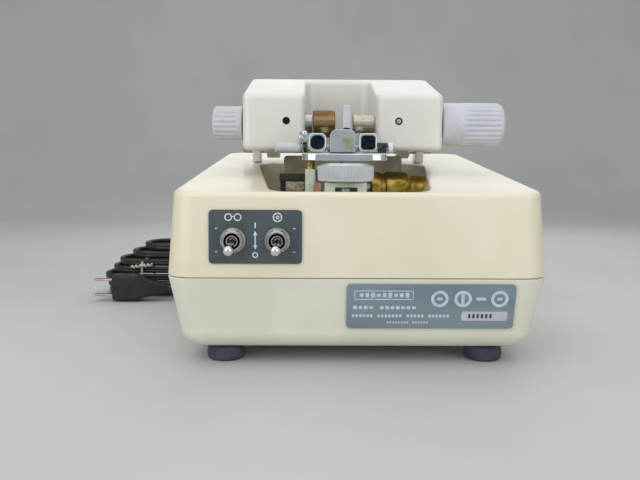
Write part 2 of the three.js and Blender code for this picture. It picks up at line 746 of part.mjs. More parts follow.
function headShape() {
  const body = join(prismX(headOutline(headEdgeRadius), headLeft, headRight, 3), ...lugXs.map(lug));
  const forkRear = headFront + forkDepth;
  const fork = prismZ(outline([[forkLeft, headFront - 20, 0.5], [forkRight, headFront - 20, 0.5],
    [forkRight, forkRear, forkRadius], [forkLeft, forkRear, forkRadius]]), headUnder - 10, headRearTop + 10);
  const gearbox = prismX(outline([[gearboxFront, gearboxBottom - 10, 1], [gearboxRear, gearboxBottom - 10, 1],
    [gearboxRear, lensZ + lensMotorRadius + 4, 4], [gearboxFront, lensZ + lensGearRadius + 2, 4]]),
  headLeft + 4, gearX + gearWidth + 1.5);
  const motorBay = prismX(outline([[pinionY - lensMotorRadius - 1, gearboxBottom - 10, 1],
    [gearboxRear, gearboxBottom - 10, 1], [gearboxRear, lensZ + lensMotorRadius + 4, 4],
    [pinionY - lensMotorRadius - 1, lensZ + lensMotorRadius + 2, 4]]), gearX, forkLeft - 4);
  const shaftHole = rodX(headLeft - 5, forkLeft + 5, lensY, lensZ, leftShaftRadius + clearance);
  const collarHole = rodX(forkLeft - 5, forkLeft + 5, lensY, lensZ, leftCollarRadius + clearance);
  const quillHole = rodX(forkRight - 5, headRight + 5, lensY, lensZ, quillRadius + clearance);
  const pivotHole = rodX(headLeft, headRight, pivotY, pivotZ, pivotShaftRadius + clearance);
  const grubHoles = grubXs.map((x) => rodY(headFront - 5, headFront + 9, x, lensZ + 1, grubScrewRadius + clearance));
  return cut(body, fork, gearbox, motorBay, shaftHole, collarHole, quillHole, pivotHole, ...grubHoles);
}
const grubXs = [forkLeft - 11.9, forkRight + 14];
part('head_casting', headShape(), finishes.headPaint);
grubXs.forEach((x, i) => {
  const head = headFront + [5, 2][i];
  part(`${['left', 'right'][i]}_grub_screw`, turnedY([[head + 2, 0], [head + 2, 1.3], [head, 1.3],
    [head, grubScrewRadius], [headFront + 8.7, grubScrewRadius], [headFront + 8.7, 0]], x, lensZ + 1, 6),
  finishes.steel);
});

// Cover plate under the gearbox, let into the casting's underside.
part('gearbox_cover', join(
  block(headLeft + 4 + clearance, gearX + gearWidth + 1.2, gearboxFront + clearance, gearboxRear - clearance,
    headUnder + 0.4, gearboxBottom),
  block(gearX + gearWidth, forkLeft - 4 - clearance, pinionY - lensMotorRadius - 1 + clearance,
    gearboxRear - clearance, headUnder + 0.4, gearboxBottom),
), finishes.headPaint);

// Spur gear with straight-flanked teeth and free play in mesh.
function gearOutline(teeth, phase) {
  const radius = gearModule * teeth / 2;
  const pitch = 2 * Math.PI / teeth;
  const flanks = [[-0.27, radius - gearModule], [-0.1, radius + gearModule * 0.75],
    [0.1, radius + gearModule * 0.75], [0.27, radius - gearModule]];
  const shape = new THREE.Shape();
  for (let tooth = 0; tooth < teeth; tooth += 1) {
    flanks.forEach(([share, r]) => {
      const angle = (tooth + phase + share) * pitch;
      const point = [r * Math.cos(angle), r * Math.sin(angle)];
      if (shape.curves.length === 0 && shape.currentPoint.length() === 0) {
        shape.moveTo(...point);
      } else {
        shape.lineTo(...point);
      }
    });
  }
  shape.closePath();
  return shape;
}

function gear(teeth, phase, y) {
  return prismX(gearOutline(teeth, phase), gearX, gearX + gearWidth).translate(0, y, lensZ);
}

// A tooth of the gear points at a gap of the pinion on the line between their centres.
part('lens_gear', cut(gear(lensGearTeeth, 0, lensY),
  rodX(gearX - 1, gearX + gearWidth + 1, lensY, lensZ, leftShaftRadius + clearance)), finishes.brass);
part('lens_pinion', join(gear(pinionTeeth, pinionTeeth / 2 + 0.5, pinionY),
  rodX(gearX + 0.5, gearX + gearWidth + 4, pinionY, lensZ, 2, 16)), finishes.brass);
const lensMotorStart = gearX + gearWidth + 4 + clearance;
part('lens_motor', turnedX([[lensMotorStart, 0], [lensMotorStart, lensMotorRadius - 1],
  [lensMotorStart + 1, lensMotorRadius], [forkLeft - 5, lensMotorRadius], [forkLeft - 5, 0]],
pinionY, lensZ, 28), finishes.steel);

// ---- lens clamp on the lens axis

const leftChuckFace = grooveX + 0.7 - lensGap / 2;
const leftChuckBack = leftChuckFace - leftChuckLength;
const leftKnobEnd = headLeft - 1 - leftKnobLength;

part('left_lens_shaft', turnedX([[leftKnobEnd + 8, 0], [leftKnobEnd + 8, leftShaftRadius],
  [forkLeft - 4.6, leftShaftRadius], [forkLeft - 4.6, leftCollarRadius],
  [leftChuckBack - clearance, leftCollarRadius], [leftChuckBack - clearance, 0]], lensY, lensZ, 28), finishes.steel);
part('left_chuck', turnedX([[leftChuckBack, 0], [leftChuckBack, leftChuckRadius - 0.5],
  [leftChuckBack + 0.5, leftChuckRadius], [leftChuckFace - 0.5, leftChuckRadius],
  [leftChuckFace, leftChuckRadius - 0.5], [leftChuckFace, 0]], lensY, lensZ, 28), finishes.brass);

// Fluted grip: an outline whose radius dips between the ribs.
function fluted(radius, ribs, x0, x1) {
  const shape = new THREE.Shape();
  const steps = ribs * 2;
  for (let i = 0; i < steps; i += 1) {
    const angle = i / steps * 2 * Math.PI;
    const r = radius - (i % 2 === 0 ? 0.9 : 0);
    const point = [r * Math.cos(angle), r * Math.sin(angle)];
    if (i === 0) {
      shape.moveTo(...point);
    } else {
      shape.lineTo(...point);
    }
  }
  shape.closePath();
  return prismX(shape, x0, x1).translate(0, lensY, lensZ);
}

const leftKnobFace = headLeft - 1;
part('left_knob', cut(
  common(fluted(leftKnobRadius, 16, leftKnobEnd, leftKnobFace), turnedX([[leftKnobEnd, 0],
    [leftKnobEnd, leftKnobRadius - 2], [leftKnobEnd + 0.6, leftKnobRadius - 0.8], [leftKnobEnd + 2, leftKnobRadius],
    [leftKnobFace, leftKnobRadius + 0.2], [leftKnobFace, 0]], lensY, lensZ, 32)),
  rodX(leftKnobEnd + 7, leftKnobFace + 2, lensY, lensZ, leftShaftRadius + clearance),
), finishes.greyPlastic);

const rightChuckFace = leftChuckFace + lensGap;
const rightChuckBack = rightChuckFace + rightChuckLength;
const quillStart = rightChuckBack + clearance;
const quillEnd = headRight - 1;
const clampKnobFace = headRight + 0.6;
const clampKnobEnd = clampKnobFace + clampKnobLength;
part('right_chuck', turnedX([[rightChuckFace, 0], [rightChuckFace, rightChuckRadius],
  [rightChuckFace + 1.6, rightChuckRadius], [rightChuckFace + 1.6, rightChuckRadius - 0.6],
  [rightChuckBack, rightChuckRadius - 0.6], [rightChuckBack, 0]], lensY, lensZ, 28), finishes.nickel);
part('clamp_quill', turnedX([[quillStart, 0], [quillStart, quillRadius], [quillEnd, quillRadius],
  [quillEnd, quillScrewRadius], [quillEnd + 21, quillScrewRadius], [quillEnd + 21, 0]], lensY, lensZ, 28),
finishes.steel);
part('clamp_knob', cut(
  join(
    turnedX([[clampKnobFace, 0], [clampKnobFace, clampKnobRadius - 0.5], [clampKnobFace + 0.5, clampKnobRadius],
      [clampKnobFace + clampCollarLength, clampKnobRadius], [clampKnobFace + clampCollarLength, 0]],
    lensY, lensZ, 40),
    common(fluted(clampKnobRadius, 20, clampKnobFace + clampCollarLength - 1, clampKnobEnd), turnedX([
      [clampKnobFace + 5, 0], [clampKnobFace + 5, clampKnobRadius + 1], [clampKnobEnd - 5, clampKnobRadius],
      [clampKnobEnd - 1.6, clampKnobRadius - 1.4], [clampKnobEnd, clampKnobRadius - 4], [clampKnobEnd, 0],
    ], lensY, lensZ, 40)),
  ),
  rodX(clampKnobFace - 2, clampKnobFace + 24, lensY, lensZ, quillScrewRadius + clearance),
), finishes.greyPlastic);

// ---- pivot at the rear: brackets on the cover's deck carry a shaft that slides and tilts with the head

const bracketXs = [headLeft - 0.2, headRight + 0.1 - bracketWidth];
function hingeBracket(x) {
  const deck = topHeight(pivotY - 8) + clearance;
  const rise = topHeight(pivotY + 8) - topHeight(pivotY - 8);
  const cheek = outline([[pivotY - 8, deck, 0.5], [pivotY + 8, deck + rise, 0.5],
    [pivotY + 8, pivotZ + 8, 6], [pivotY - 8, pivotZ + 8, 6]]);
  return cut(prismX(cheek, x, x + bracketWidth),
    rodX(x - 1, x + bracketWidth + 1, pivotY, pivotZ, pivotShaftRadius + clearance));
}
part('left_hinge_bracket', hingeBracket(bracketXs[0]), finishes.steel);
part('right_hinge_bracket', hingeBracket(bracketXs[1]), finishes.steel);
part('pivot_shaft', rodX(bracketXs[0] - headFloat - 4, bracketXs[1] + bracketWidth + headFloat + 4, pivotY, pivotZ,
  pivotShaftRadius), finishes.steel);

// ---- mains lead

part('strain_relief', turnedY([[bodyDepth - 9, 0], [bodyDepth - 9, 4], [bodyDepth + clearance, 4],
  [bodyDepth + clearance, 7], [bodyDepth + 3, 7], [bodyDepth + 4, 5.4],
  [bodyDepth + glandLength, 4], [bodyDepth + glandLength, 0]], glandX, glandZ, 20), finishes.blackPlastic);

// The free lead's routes, chosen by hand: gland to hank, and hank to plug.
const glandRoute = [
  [-60, 239.4, 24], [-60, 244, 23.6], [-61.5, 254, 22], [-66, 262, 18.5], [-73, 267.5, 14], [-82, 270, 9.5],
  [-92, 269.5, 6], [-102, 266.5, 4], [-112, 262, 3.4], [-122, 256.5, 3.4], [-131.5, 251.5, 3.4],
];
const plugRoute = [
  [-146.4, 186, 10.4], [-139, 186, 8.6], [-131, 186.6, 7], [-122, 188.6, 9.4], [-115.4, 191, 16],
  [-113, 194.2, 25], [-115.4, 196.8, 34], [-121, 198.4, 40],
];

// Flat section, wide across and thin up, swept along a route.
function cordTube(route, spacing) {
  const path = new THREE.CatmullRomCurve3(route.map((point) => new THREE.Vector3(...point)), false, 'centripetal');
  const section = new THREE.Shape();
  for (let i = 0; i < 8; i += 1) {
    const angle = (i + 0.5) / 8 * 2 * Math.PI;
    const point = [cordWidth / 2 * Math.cos(angle), cordWidth / 2 * Math.sin(angle)];
    if (i === 0) {
      section.moveTo(...point);
    } else {
      section.lineTo(...point);
    }
  }
  section.closePath();
  const steps = Math.round(path.getLength() / spacing);
  return closed(new THREE.ExtrudeGeometry(section, { steps, extrudePath: path, bevelEnabled: false }));
}
part('gland_cord', cordTube(glandRoute, 6), finishes.cordRubber);
part('plug_cord', cordTube(plugRoute, 4), finishes.cordRubber);

// Hank: a stack of long loops whose left ends step back towards the top.
part('cord_hank', prismY(outline([
  [-112, 0.4, 3], [-194, 0.4, 6], [-207, 12, 5], [-206, 24, 3], [-174, 44, 4], [-163, 46, 3],
  [-124, 46, 6], [-112, 34, 6],
]), 202, 246, 0, 3), finishes.cordRubber);

// Moulded plug lying on its narrow side, with two flat blades one above the other.
const plugLeft = -191;
const plugLength = 44;
const plugY = 186;
const bladeSpacing = 12.7;
const bladeLength = 15.5;
part('plug_body', prismY(outline([
  [0, 0.6, 1.6], [21, 0.6, 3], [27, 4.4, 3], [plugLength, 7.4, 1.2], [plugLength, 13.6, 1.2], [27, 18.8, 3],
  [21, 22.8, 3], [0, 22.8, 1.6],
]), plugY - 6, plugY + 6, 1).translate(plugLeft, 0, 0), finishes.cordRubber);
['lower', 'upper'].forEach((name, i) => {
  const z = 5.2 + i * bladeSpacing;
  part(`${name}_plug_blade`, prismZ(outline([[-bladeLength, -3, 1.5], [-clearance, -3, 0.2], [-clearance, 3, 0.2],
    [-bladeLength, 3, 1.5]]), z - 0.75, z + 0.75).translate(plugLeft, plugY, 0), finishes.brass);
});

// The whole object stands centred on its own origin: lever tips in front, the cover's rear face behind.
assembly.position.set(0, -(bodyDepth - toggleReach) / 2, 0);
const machine = new THREE.Group();
machine.add(assembly);
export default machine;
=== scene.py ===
import math

import bpy
import numpy as np
from mathutils import Matrix, Vector
from mathutils.geometry import tessellate_polygon


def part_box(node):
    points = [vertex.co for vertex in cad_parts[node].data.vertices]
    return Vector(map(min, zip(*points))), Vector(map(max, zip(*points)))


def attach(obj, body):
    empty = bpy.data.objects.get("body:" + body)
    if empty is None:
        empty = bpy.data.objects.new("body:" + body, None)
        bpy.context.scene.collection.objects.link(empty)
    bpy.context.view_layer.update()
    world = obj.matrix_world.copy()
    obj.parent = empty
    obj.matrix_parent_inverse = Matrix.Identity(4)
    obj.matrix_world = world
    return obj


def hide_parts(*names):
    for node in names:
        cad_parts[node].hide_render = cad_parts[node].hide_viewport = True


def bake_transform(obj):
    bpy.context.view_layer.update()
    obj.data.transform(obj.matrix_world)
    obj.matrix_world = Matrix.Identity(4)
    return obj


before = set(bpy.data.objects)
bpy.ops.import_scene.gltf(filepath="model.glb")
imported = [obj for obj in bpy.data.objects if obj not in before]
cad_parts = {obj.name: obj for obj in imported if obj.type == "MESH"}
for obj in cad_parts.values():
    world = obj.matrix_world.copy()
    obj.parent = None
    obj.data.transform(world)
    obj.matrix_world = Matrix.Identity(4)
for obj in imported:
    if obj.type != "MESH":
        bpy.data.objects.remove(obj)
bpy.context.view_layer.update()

# Shapes are worked out in millimetres, with depth counted backwards from the front face.
bodyBox = {"front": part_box("lower_base")[0].y * 1000, "halfWidth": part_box("lower_base")[1].x * 1000}


# The lowest and highest corner of a CAD piece, in millimetres, depth counted from the front face.
def nodeBox(node):
    corners = np.array([list(corner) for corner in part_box(node)]) * 1000
    return corners - (0, bodyBox["front"], 0)


# Half way between the corners of a CAD piece.
def middle(node):
    return nodeBox(node).mean(0)


# Millimetres with depth from the front face turned into metres in the shared frame.
def toFrame(points):
    return (np.asarray(points, float) + (0, bodyBox["front"], 0)) / 1000


# Camera, light and floor.
cameraLook = {"place": (-25.1, -369.2, 117.5), "down": 0.118, "turn": -0.0101, "roll": 0.0056, "lens": 37.97}
lightLook = {
    "ceiling": {"place": (-100, -100, 900), "size": 1.3, "watts": 3.6, "aim": (0, 80, 60)},
    "window": {"place": (-560, -520, 420), "size": 0.8, "watts": 2.6, "aim": (0, 60, 80)},
    "fill": {"place": (520, -600, 300), "size": 0.8, "watts": 2, "aim": (0, 60, 90)},
    "back": {"place": (100, 620, 560), "size": 0.9, "watts": 1.8, "aim": (0, 90, 90)},
}
stageLook = {"world": (0.86, 0.88, 0.9), "worldStrength": 0.52}


# A camera turned by its yaw, pitch and roll, in that order.
def placeCamera():
    data = bpy.data.cameras.new("camera")
    camera = bpy.data.objects.new("camera", data)
    bpy.context.scene.collection.objects.link(camera)
    facing = Matrix.Rotation(cameraLook["turn"], 4, "Z") @ Matrix.Rotation(math.pi / 2 - cameraLook["down"],
                                                                           4, "X")
    camera.matrix_world = Matrix.Translation(toFrame(cameraLook["place"])) @ facing @ Matrix.Rotation(
        cameraLook["roll"], 4, "Z")
    data.lens = cameraLook["lens"]
    data.sensor_width = 36
    data.clip_start = 0.01
    bpy.context.scene.camera = camera


# Square area lights, each turned so that its face looks at its aim.
def placeLights():
    for name, look in lightLook.items():
        data = bpy.data.lights.new(name, "AREA")
        data.size = look["size"]
        data.energy = look["watts"]
        light = bpy.data.objects.new(name, data)
        bpy.context.scene.collection.objects.link(light)
        place = toFrame(look["place"])
        away = Vector(place) - Vector(toFrame(look["aim"]))
        light.location = place
        light.rotation_euler = away.to_track_quat("Z", "Y").to_euler()
    world = bpy.data.worlds.new("softRoom")
    world.use_nodes = True
    world.node_tree.nodes["Background"].inputs["Color"].default_value = (*stageLook["world"], 1)
    world.node_tree.nodes["Background"].inputs["Strength"].default_value = stageLook["worldStrength"]
    bpy.context.scene.world = world
    bpy.context.scene.view_settings.view_transform = "Standard"


# Surfaces.

# Faces between neighbouring rows of points that each run round; end rows are closed by one face, or
# joined in a ring.
def skin(grid, ring=False):
    rows, columns = grid.shape[:2]
    row = np.arange(rows if ring else rows - 1)[:, None]
    column = np.arange(columns)[None, :]
    after = (column + 1) % columns
    below = (row + 1) % rows
    quads = np.stack([row * columns + column, row * columns + after, below * columns + after,
                      below * columns + column], -1).reshape(-1, 4)
    points = grid.reshape(-1, 3)
    caps = np.zeros((0, columns), int) if ring else np.stack([np.arange(columns)[::-1],
                                                               (rows - 1) * columns + np.arange(columns)])
    fans = [np.stack([np.broadcast_to(cap[0], columns - 2), cap[1:-1], cap[2:]], -1) for cap in caps]
    triangles = np.concatenate([quads[:, [0, 1, 2]], quads[:, [0, 2, 3]], *fans])
    a, b, c = (points[triangles[:, k]] for k in range(3))
    if np.einsum("ij,ij->i", a, np.cross(b, c)).sum() < 0:  # a negative volume means the faces look inwards
        quads, caps = quads[:, ::-1], caps[:, ::-1]
    return points, quads.tolist() + caps.tolist()


# One object from several skins, riding on a CAD body, with smooth faces that break at sharp edges.
def addPiece(name, skins, body, material, stands=(), sharp=38):
    start, points, faces = 0, [], []
    for skinPoints, skinFaces in skins:
        points.append(skinPoints)
        faces += [[corner + start for corner in face] for face in skinFaces]
        start += len(skinPoints)
    mesh = bpy.data.meshes.new(name)
    mesh.from_pydata(toFrame(np.concatenate(points)).tolist(), [], faces)
    mesh.shade_smooth()
    mesh.set_sharp_from_angle(angle=math.radians(sharp))
    mesh.materials.append(material)
    piece = bpy.data.objects.new(name, mesh)
    bpy.context.scene.collection.objects.link(piece)
    if body:
        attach(piece, body)
    evened = piece.modifiers.new("evenShading", "WEIGHTED_NORMAL")
    evened.keep_sharp = True
    if stands:
        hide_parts(*stands)
    return piece


# Along and away from an axis put into x, y, z: "x", "y" or "z" names the axis, turned counts the angle
# from its side.
def around(axis, along, radius, angle, centre):
    side, up = radius * np.cos(angle), radius * np.sin(angle)
    places = {"x": (along, side, up), "y": (side, along, up), "z": (side, up, along)}[axis]
    return np.stack(np.broadcast_arrays(*places), -1) + np.asarray(centre, float)


# A profile of along and radius pairs turned about an axis; ripple adds to the radius from angle and along.
def turned(axis, profile, centre, sides=72, ripple=None):
    along, radius = np.array(profile, float).T[:, :, None]
    angle = np.linspace(0, 2 * math.pi, sides, endpoint=False)[None, :]
    if ripple:
        radius = radius + ripple(angle, along)
    return skin(around(axis, along, np.maximum(radius, 0.01), angle, centre))


# The corners of a profile rounded off: each given radius cuts the corner with an arc of a few points.
def softened(corners, steps=5):
    pieces = []
    count = len(corners)
    for index, (u, v, radius) in enumerate(corners):
        here = np.array((u, v), float)
        if radius <= 0:
            pieces.append(here[None])
            continue
        toBefore = np.array(corners[index - 1][:2], float) - here
        toAfter = np.array(corners[(index + 1) % count][:2], float) - here
        toBefore, toAfter = toBefore / np.linalg.norm(toBefore), toAfter / np.linalg.norm(toAfter)
        half = math.acos(np.clip(toBefore @ toAfter, -1, 1)) / 2
        reach = radius / math.tan(half)
        share = np.linspace(0, 1, steps)[:, None]
        start, end = here + toBefore * reach, here + toAfter * reach
        pieces.append((1 - share) ** 2 * start + 2 * share * (1 - share) * here + share ** 2 * end)
    return np.concatenate(pieces)


# A closed outline moved inwards along its own normals.
def inset(outline, distance):
    ahead = np.roll(outline, -1, 0) - outline
    behind = outline - np.roll(outline, 1, 0)
    unitAhead = ahead / np.linalg.norm(ahead, axis=1, keepdims=True)
    unitBehind = behind / np.linalg.norm(behind, axis=1, keepdims=True)
    normal = unitAhead + unitBehind
    normal = np.stack([-normal[:, 1], normal[:, 0]], -1)
    normal /= np.linalg.norm(normal, axis=1, keepdims=True)
    lean = np.maximum((normal * np.stack([-unitAhead[:, 1], unitAhead[:, 0]], -1)).sum(1, keepdims=True), 0.5)
    return outline + normal * distance / lean


# An outline (anticlockwise) carried from low to high along an axis, with both rims rounded by the rim radius.
def slab(axis, outline, low, high, rim, steps=5):
    turn = np.linspace(0, math.pi / 2, steps)
    offsets = np.concatenate([rim * (1 - np.sin(turn)), rim * (1 - np.cos(turn))])
    levels = np.concatenate([low + rim * (1 - np.cos(turn)), high - rim * (1 - np.sin(turn))])
    rings = np.stack([inset(outline, offset) for offset in offsets])
    level = np.broadcast_to(levels[:, None], rings.shape[:2])
    u, v = rings[..., 0], rings[..., 1]
    return skin(np.stack({"x": (level, u, v), "y": (u, level, v), "z": (u, v, level)}[axis], -1))


# The four corners of a rectangle, each rounded by the same radius.
def rectangle(u0, u1, v0, v1, radius, steps=6):
    return softened([(u0, v0, radius), (u1, v0, radius), (u1, v1, radius), (u0, v1, radius)], steps)


# A box given by its two corners, with rounded upright edges and rounded rims.
def softBox(axis, low, high, radius, rim):
    order = {"x": (1, 2, 0), "y": (0, 2, 1), "z": (0, 1, 2)}[axis]
    u, v, along = order
    return slab(axis, rectangle(low[u], high[u], low[v], high[v], radius), low[along], high[along], rim)


# A flat section carried along a path; across is the section's wide direction at each point of the path.
def carried(path, across, section):
    forward = np.gradient(path, axis=0)
    forward /= np.linalg.norm(forward, axis=1, keepdims=True)
    across = across - (across * forward).sum(1, keepdims=True) * forward
    across /= np.linalg.norm(across, axis=1, keepdims=True)
    upward = np.cross(forward, across)
    return skin(path[:, None] + section[None, :, :1] * across[:, None] + section[None, :, 1:] * upward[:,
                                                                                                       None])


# Even steps of angle round a circle of the given radius.
def circle(radius, count=12):
    angle = np.linspace(0, 2 * math.pi, count, endpoint=False)
    return np.stack([radius * np.cos(angle), radius * np.sin(angle)], -1)


# A smooth line through points: centripetal spacing, then a cubic through each stretch, read at even steps.
def smoothLine(points, spacing):
    points = np.asarray(points, float)
    knots = np.concatenate([[0], np.cumsum(np.linalg.norm(np.diff(points, axis=0), axis=1) ** 0.5)])
    slope = np.gradient(points, knots, axis=0)
    dense = np.linspace(0, knots[-1], len(points) * 40)
    cell = np.clip(np.searchsorted(knots, dense, "right") - 1, 0, len(points) - 2)
    width = (knots[cell + 1] - knots[cell])[:, None]
    t = (dense[:, None] - knots[cell][:, None]) / width
    line = ((2 * t ** 3 - 3 * t ** 2 + 1) * points[cell] + (t ** 3 - 2 * t ** 2 + t) * width * slope[cell]
            + (3 * t ** 2 - 2 * t ** 3) * points[cell + 1] + (t ** 3 - t ** 2) * width * slope[cell + 1])
    run = np.concatenate([[0], np.cumsum(np.linalg.norm(np.diff(line, axis=0), axis=1))])
    even = np.linspace(0, run[-1], max(3, int(run[-1] / spacing)))
    return np.stack([np.interp(even, run, line[:, k]) for k in range(3)], -1)


# Finishes.

# A shader with two tones mixed by cloudy noise, a fine grain in the bump, and roughness that varies with
# the clouds.
def toned(name, look):
    material = bpy.data.materials.new(name)
    material.use_nodes = True
    nodes, links = material.node_tree.nodes, material.node_tree.links
    shader = nodes["Principled BSDF"]
    place = nodes.new("ShaderNodeTexCoord")
    mapped = nodes.new("ShaderNodeMapping")
    mapped.inputs["Scale"].default_value = look.get("stretch", (1, 1, 1))
    links.new(place.outputs["Object"], mapped.inputs["Vector"])
    clouds = nodes.new("ShaderNodeTexNoise")
    clouds.inputs["Scale"].default_value = look.get("cloudScale", 25)
    clouds.inputs["Detail"].default_value = 5
    clouds.inputs["Roughness"].default_value = 0.6
    links.new(mapped.outputs["Vector"], clouds.inputs["Vector"])
    spread = nodes.new("ShaderNodeMapRange")
    spread.inputs["From Min"].default_value = look.get("from", 0.35)
    spread.inputs["From Max"].default_value = look.get("to", 0.65)
    links.new(clouds.outputs["Fac"], spread.inputs["Value"])
    tones = nodes.new("ShaderNodeMix")
    tones.data_type = "RGBA"
    tones.inputs[6].default_value = (*look["light"], 1)
    tones.inputs[7].default_value = (*look["dark"], 1)
    links.new(spread.outputs["Result"], tones.inputs[0])
    links.new(tones.outputs[2], shader.inputs["Base Color"])
    rough = nodes.new("ShaderNodeMapRange")
    rough.inputs["To Min"].default_value = look["roughness"][0]
    rough.inputs["To Max"].default_value = look["roughness"][1]
    links.new(spread.outputs["Result"], rough.inputs["Value"])
    links.new(rough.outputs["Result"], shader.inputs["Roughness"])
    grain = nodes.new("ShaderNodeTexNoise")
    grain.inputs["Scale"].default_value = look.get("grainScale", 1200)
    grain.inputs["Detail"].default_value = 3
    links.new(mapped.outputs["Vector"], grain.inputs["Vector"])
    bump = nodes.new("ShaderNodeBump")
    bump.inputs["Strength"].default_value = look.get("bump", 0.1)
    bump.inputs["Distance"].default_value = look.get("bumpDepth", 0.0001)
    links.new(grain.outputs["Fac"], bump.inputs["Height"])
    links.new(bump.outputs["Normal"], shader.inputs["Normal"])
    shader.inputs["Metallic"].default_value = look.get("metal", 0)
    shader.inputs["Coat Weight"].default_value = look.get("coat", 0)
    shader.inputs["Coat Roughness"].default_value = look.get("coatRoughness", 0.1)
    return material


# sRGB bytes to the linear numbers that a shader takes.
def tint(red, green, blue):
    share = np.array((red, green, blue)) / 255
    return tuple(np.where(share <= 0.04045, share / 12.92, ((share + 0.055) / 1.055) ** 2.4).tolist())


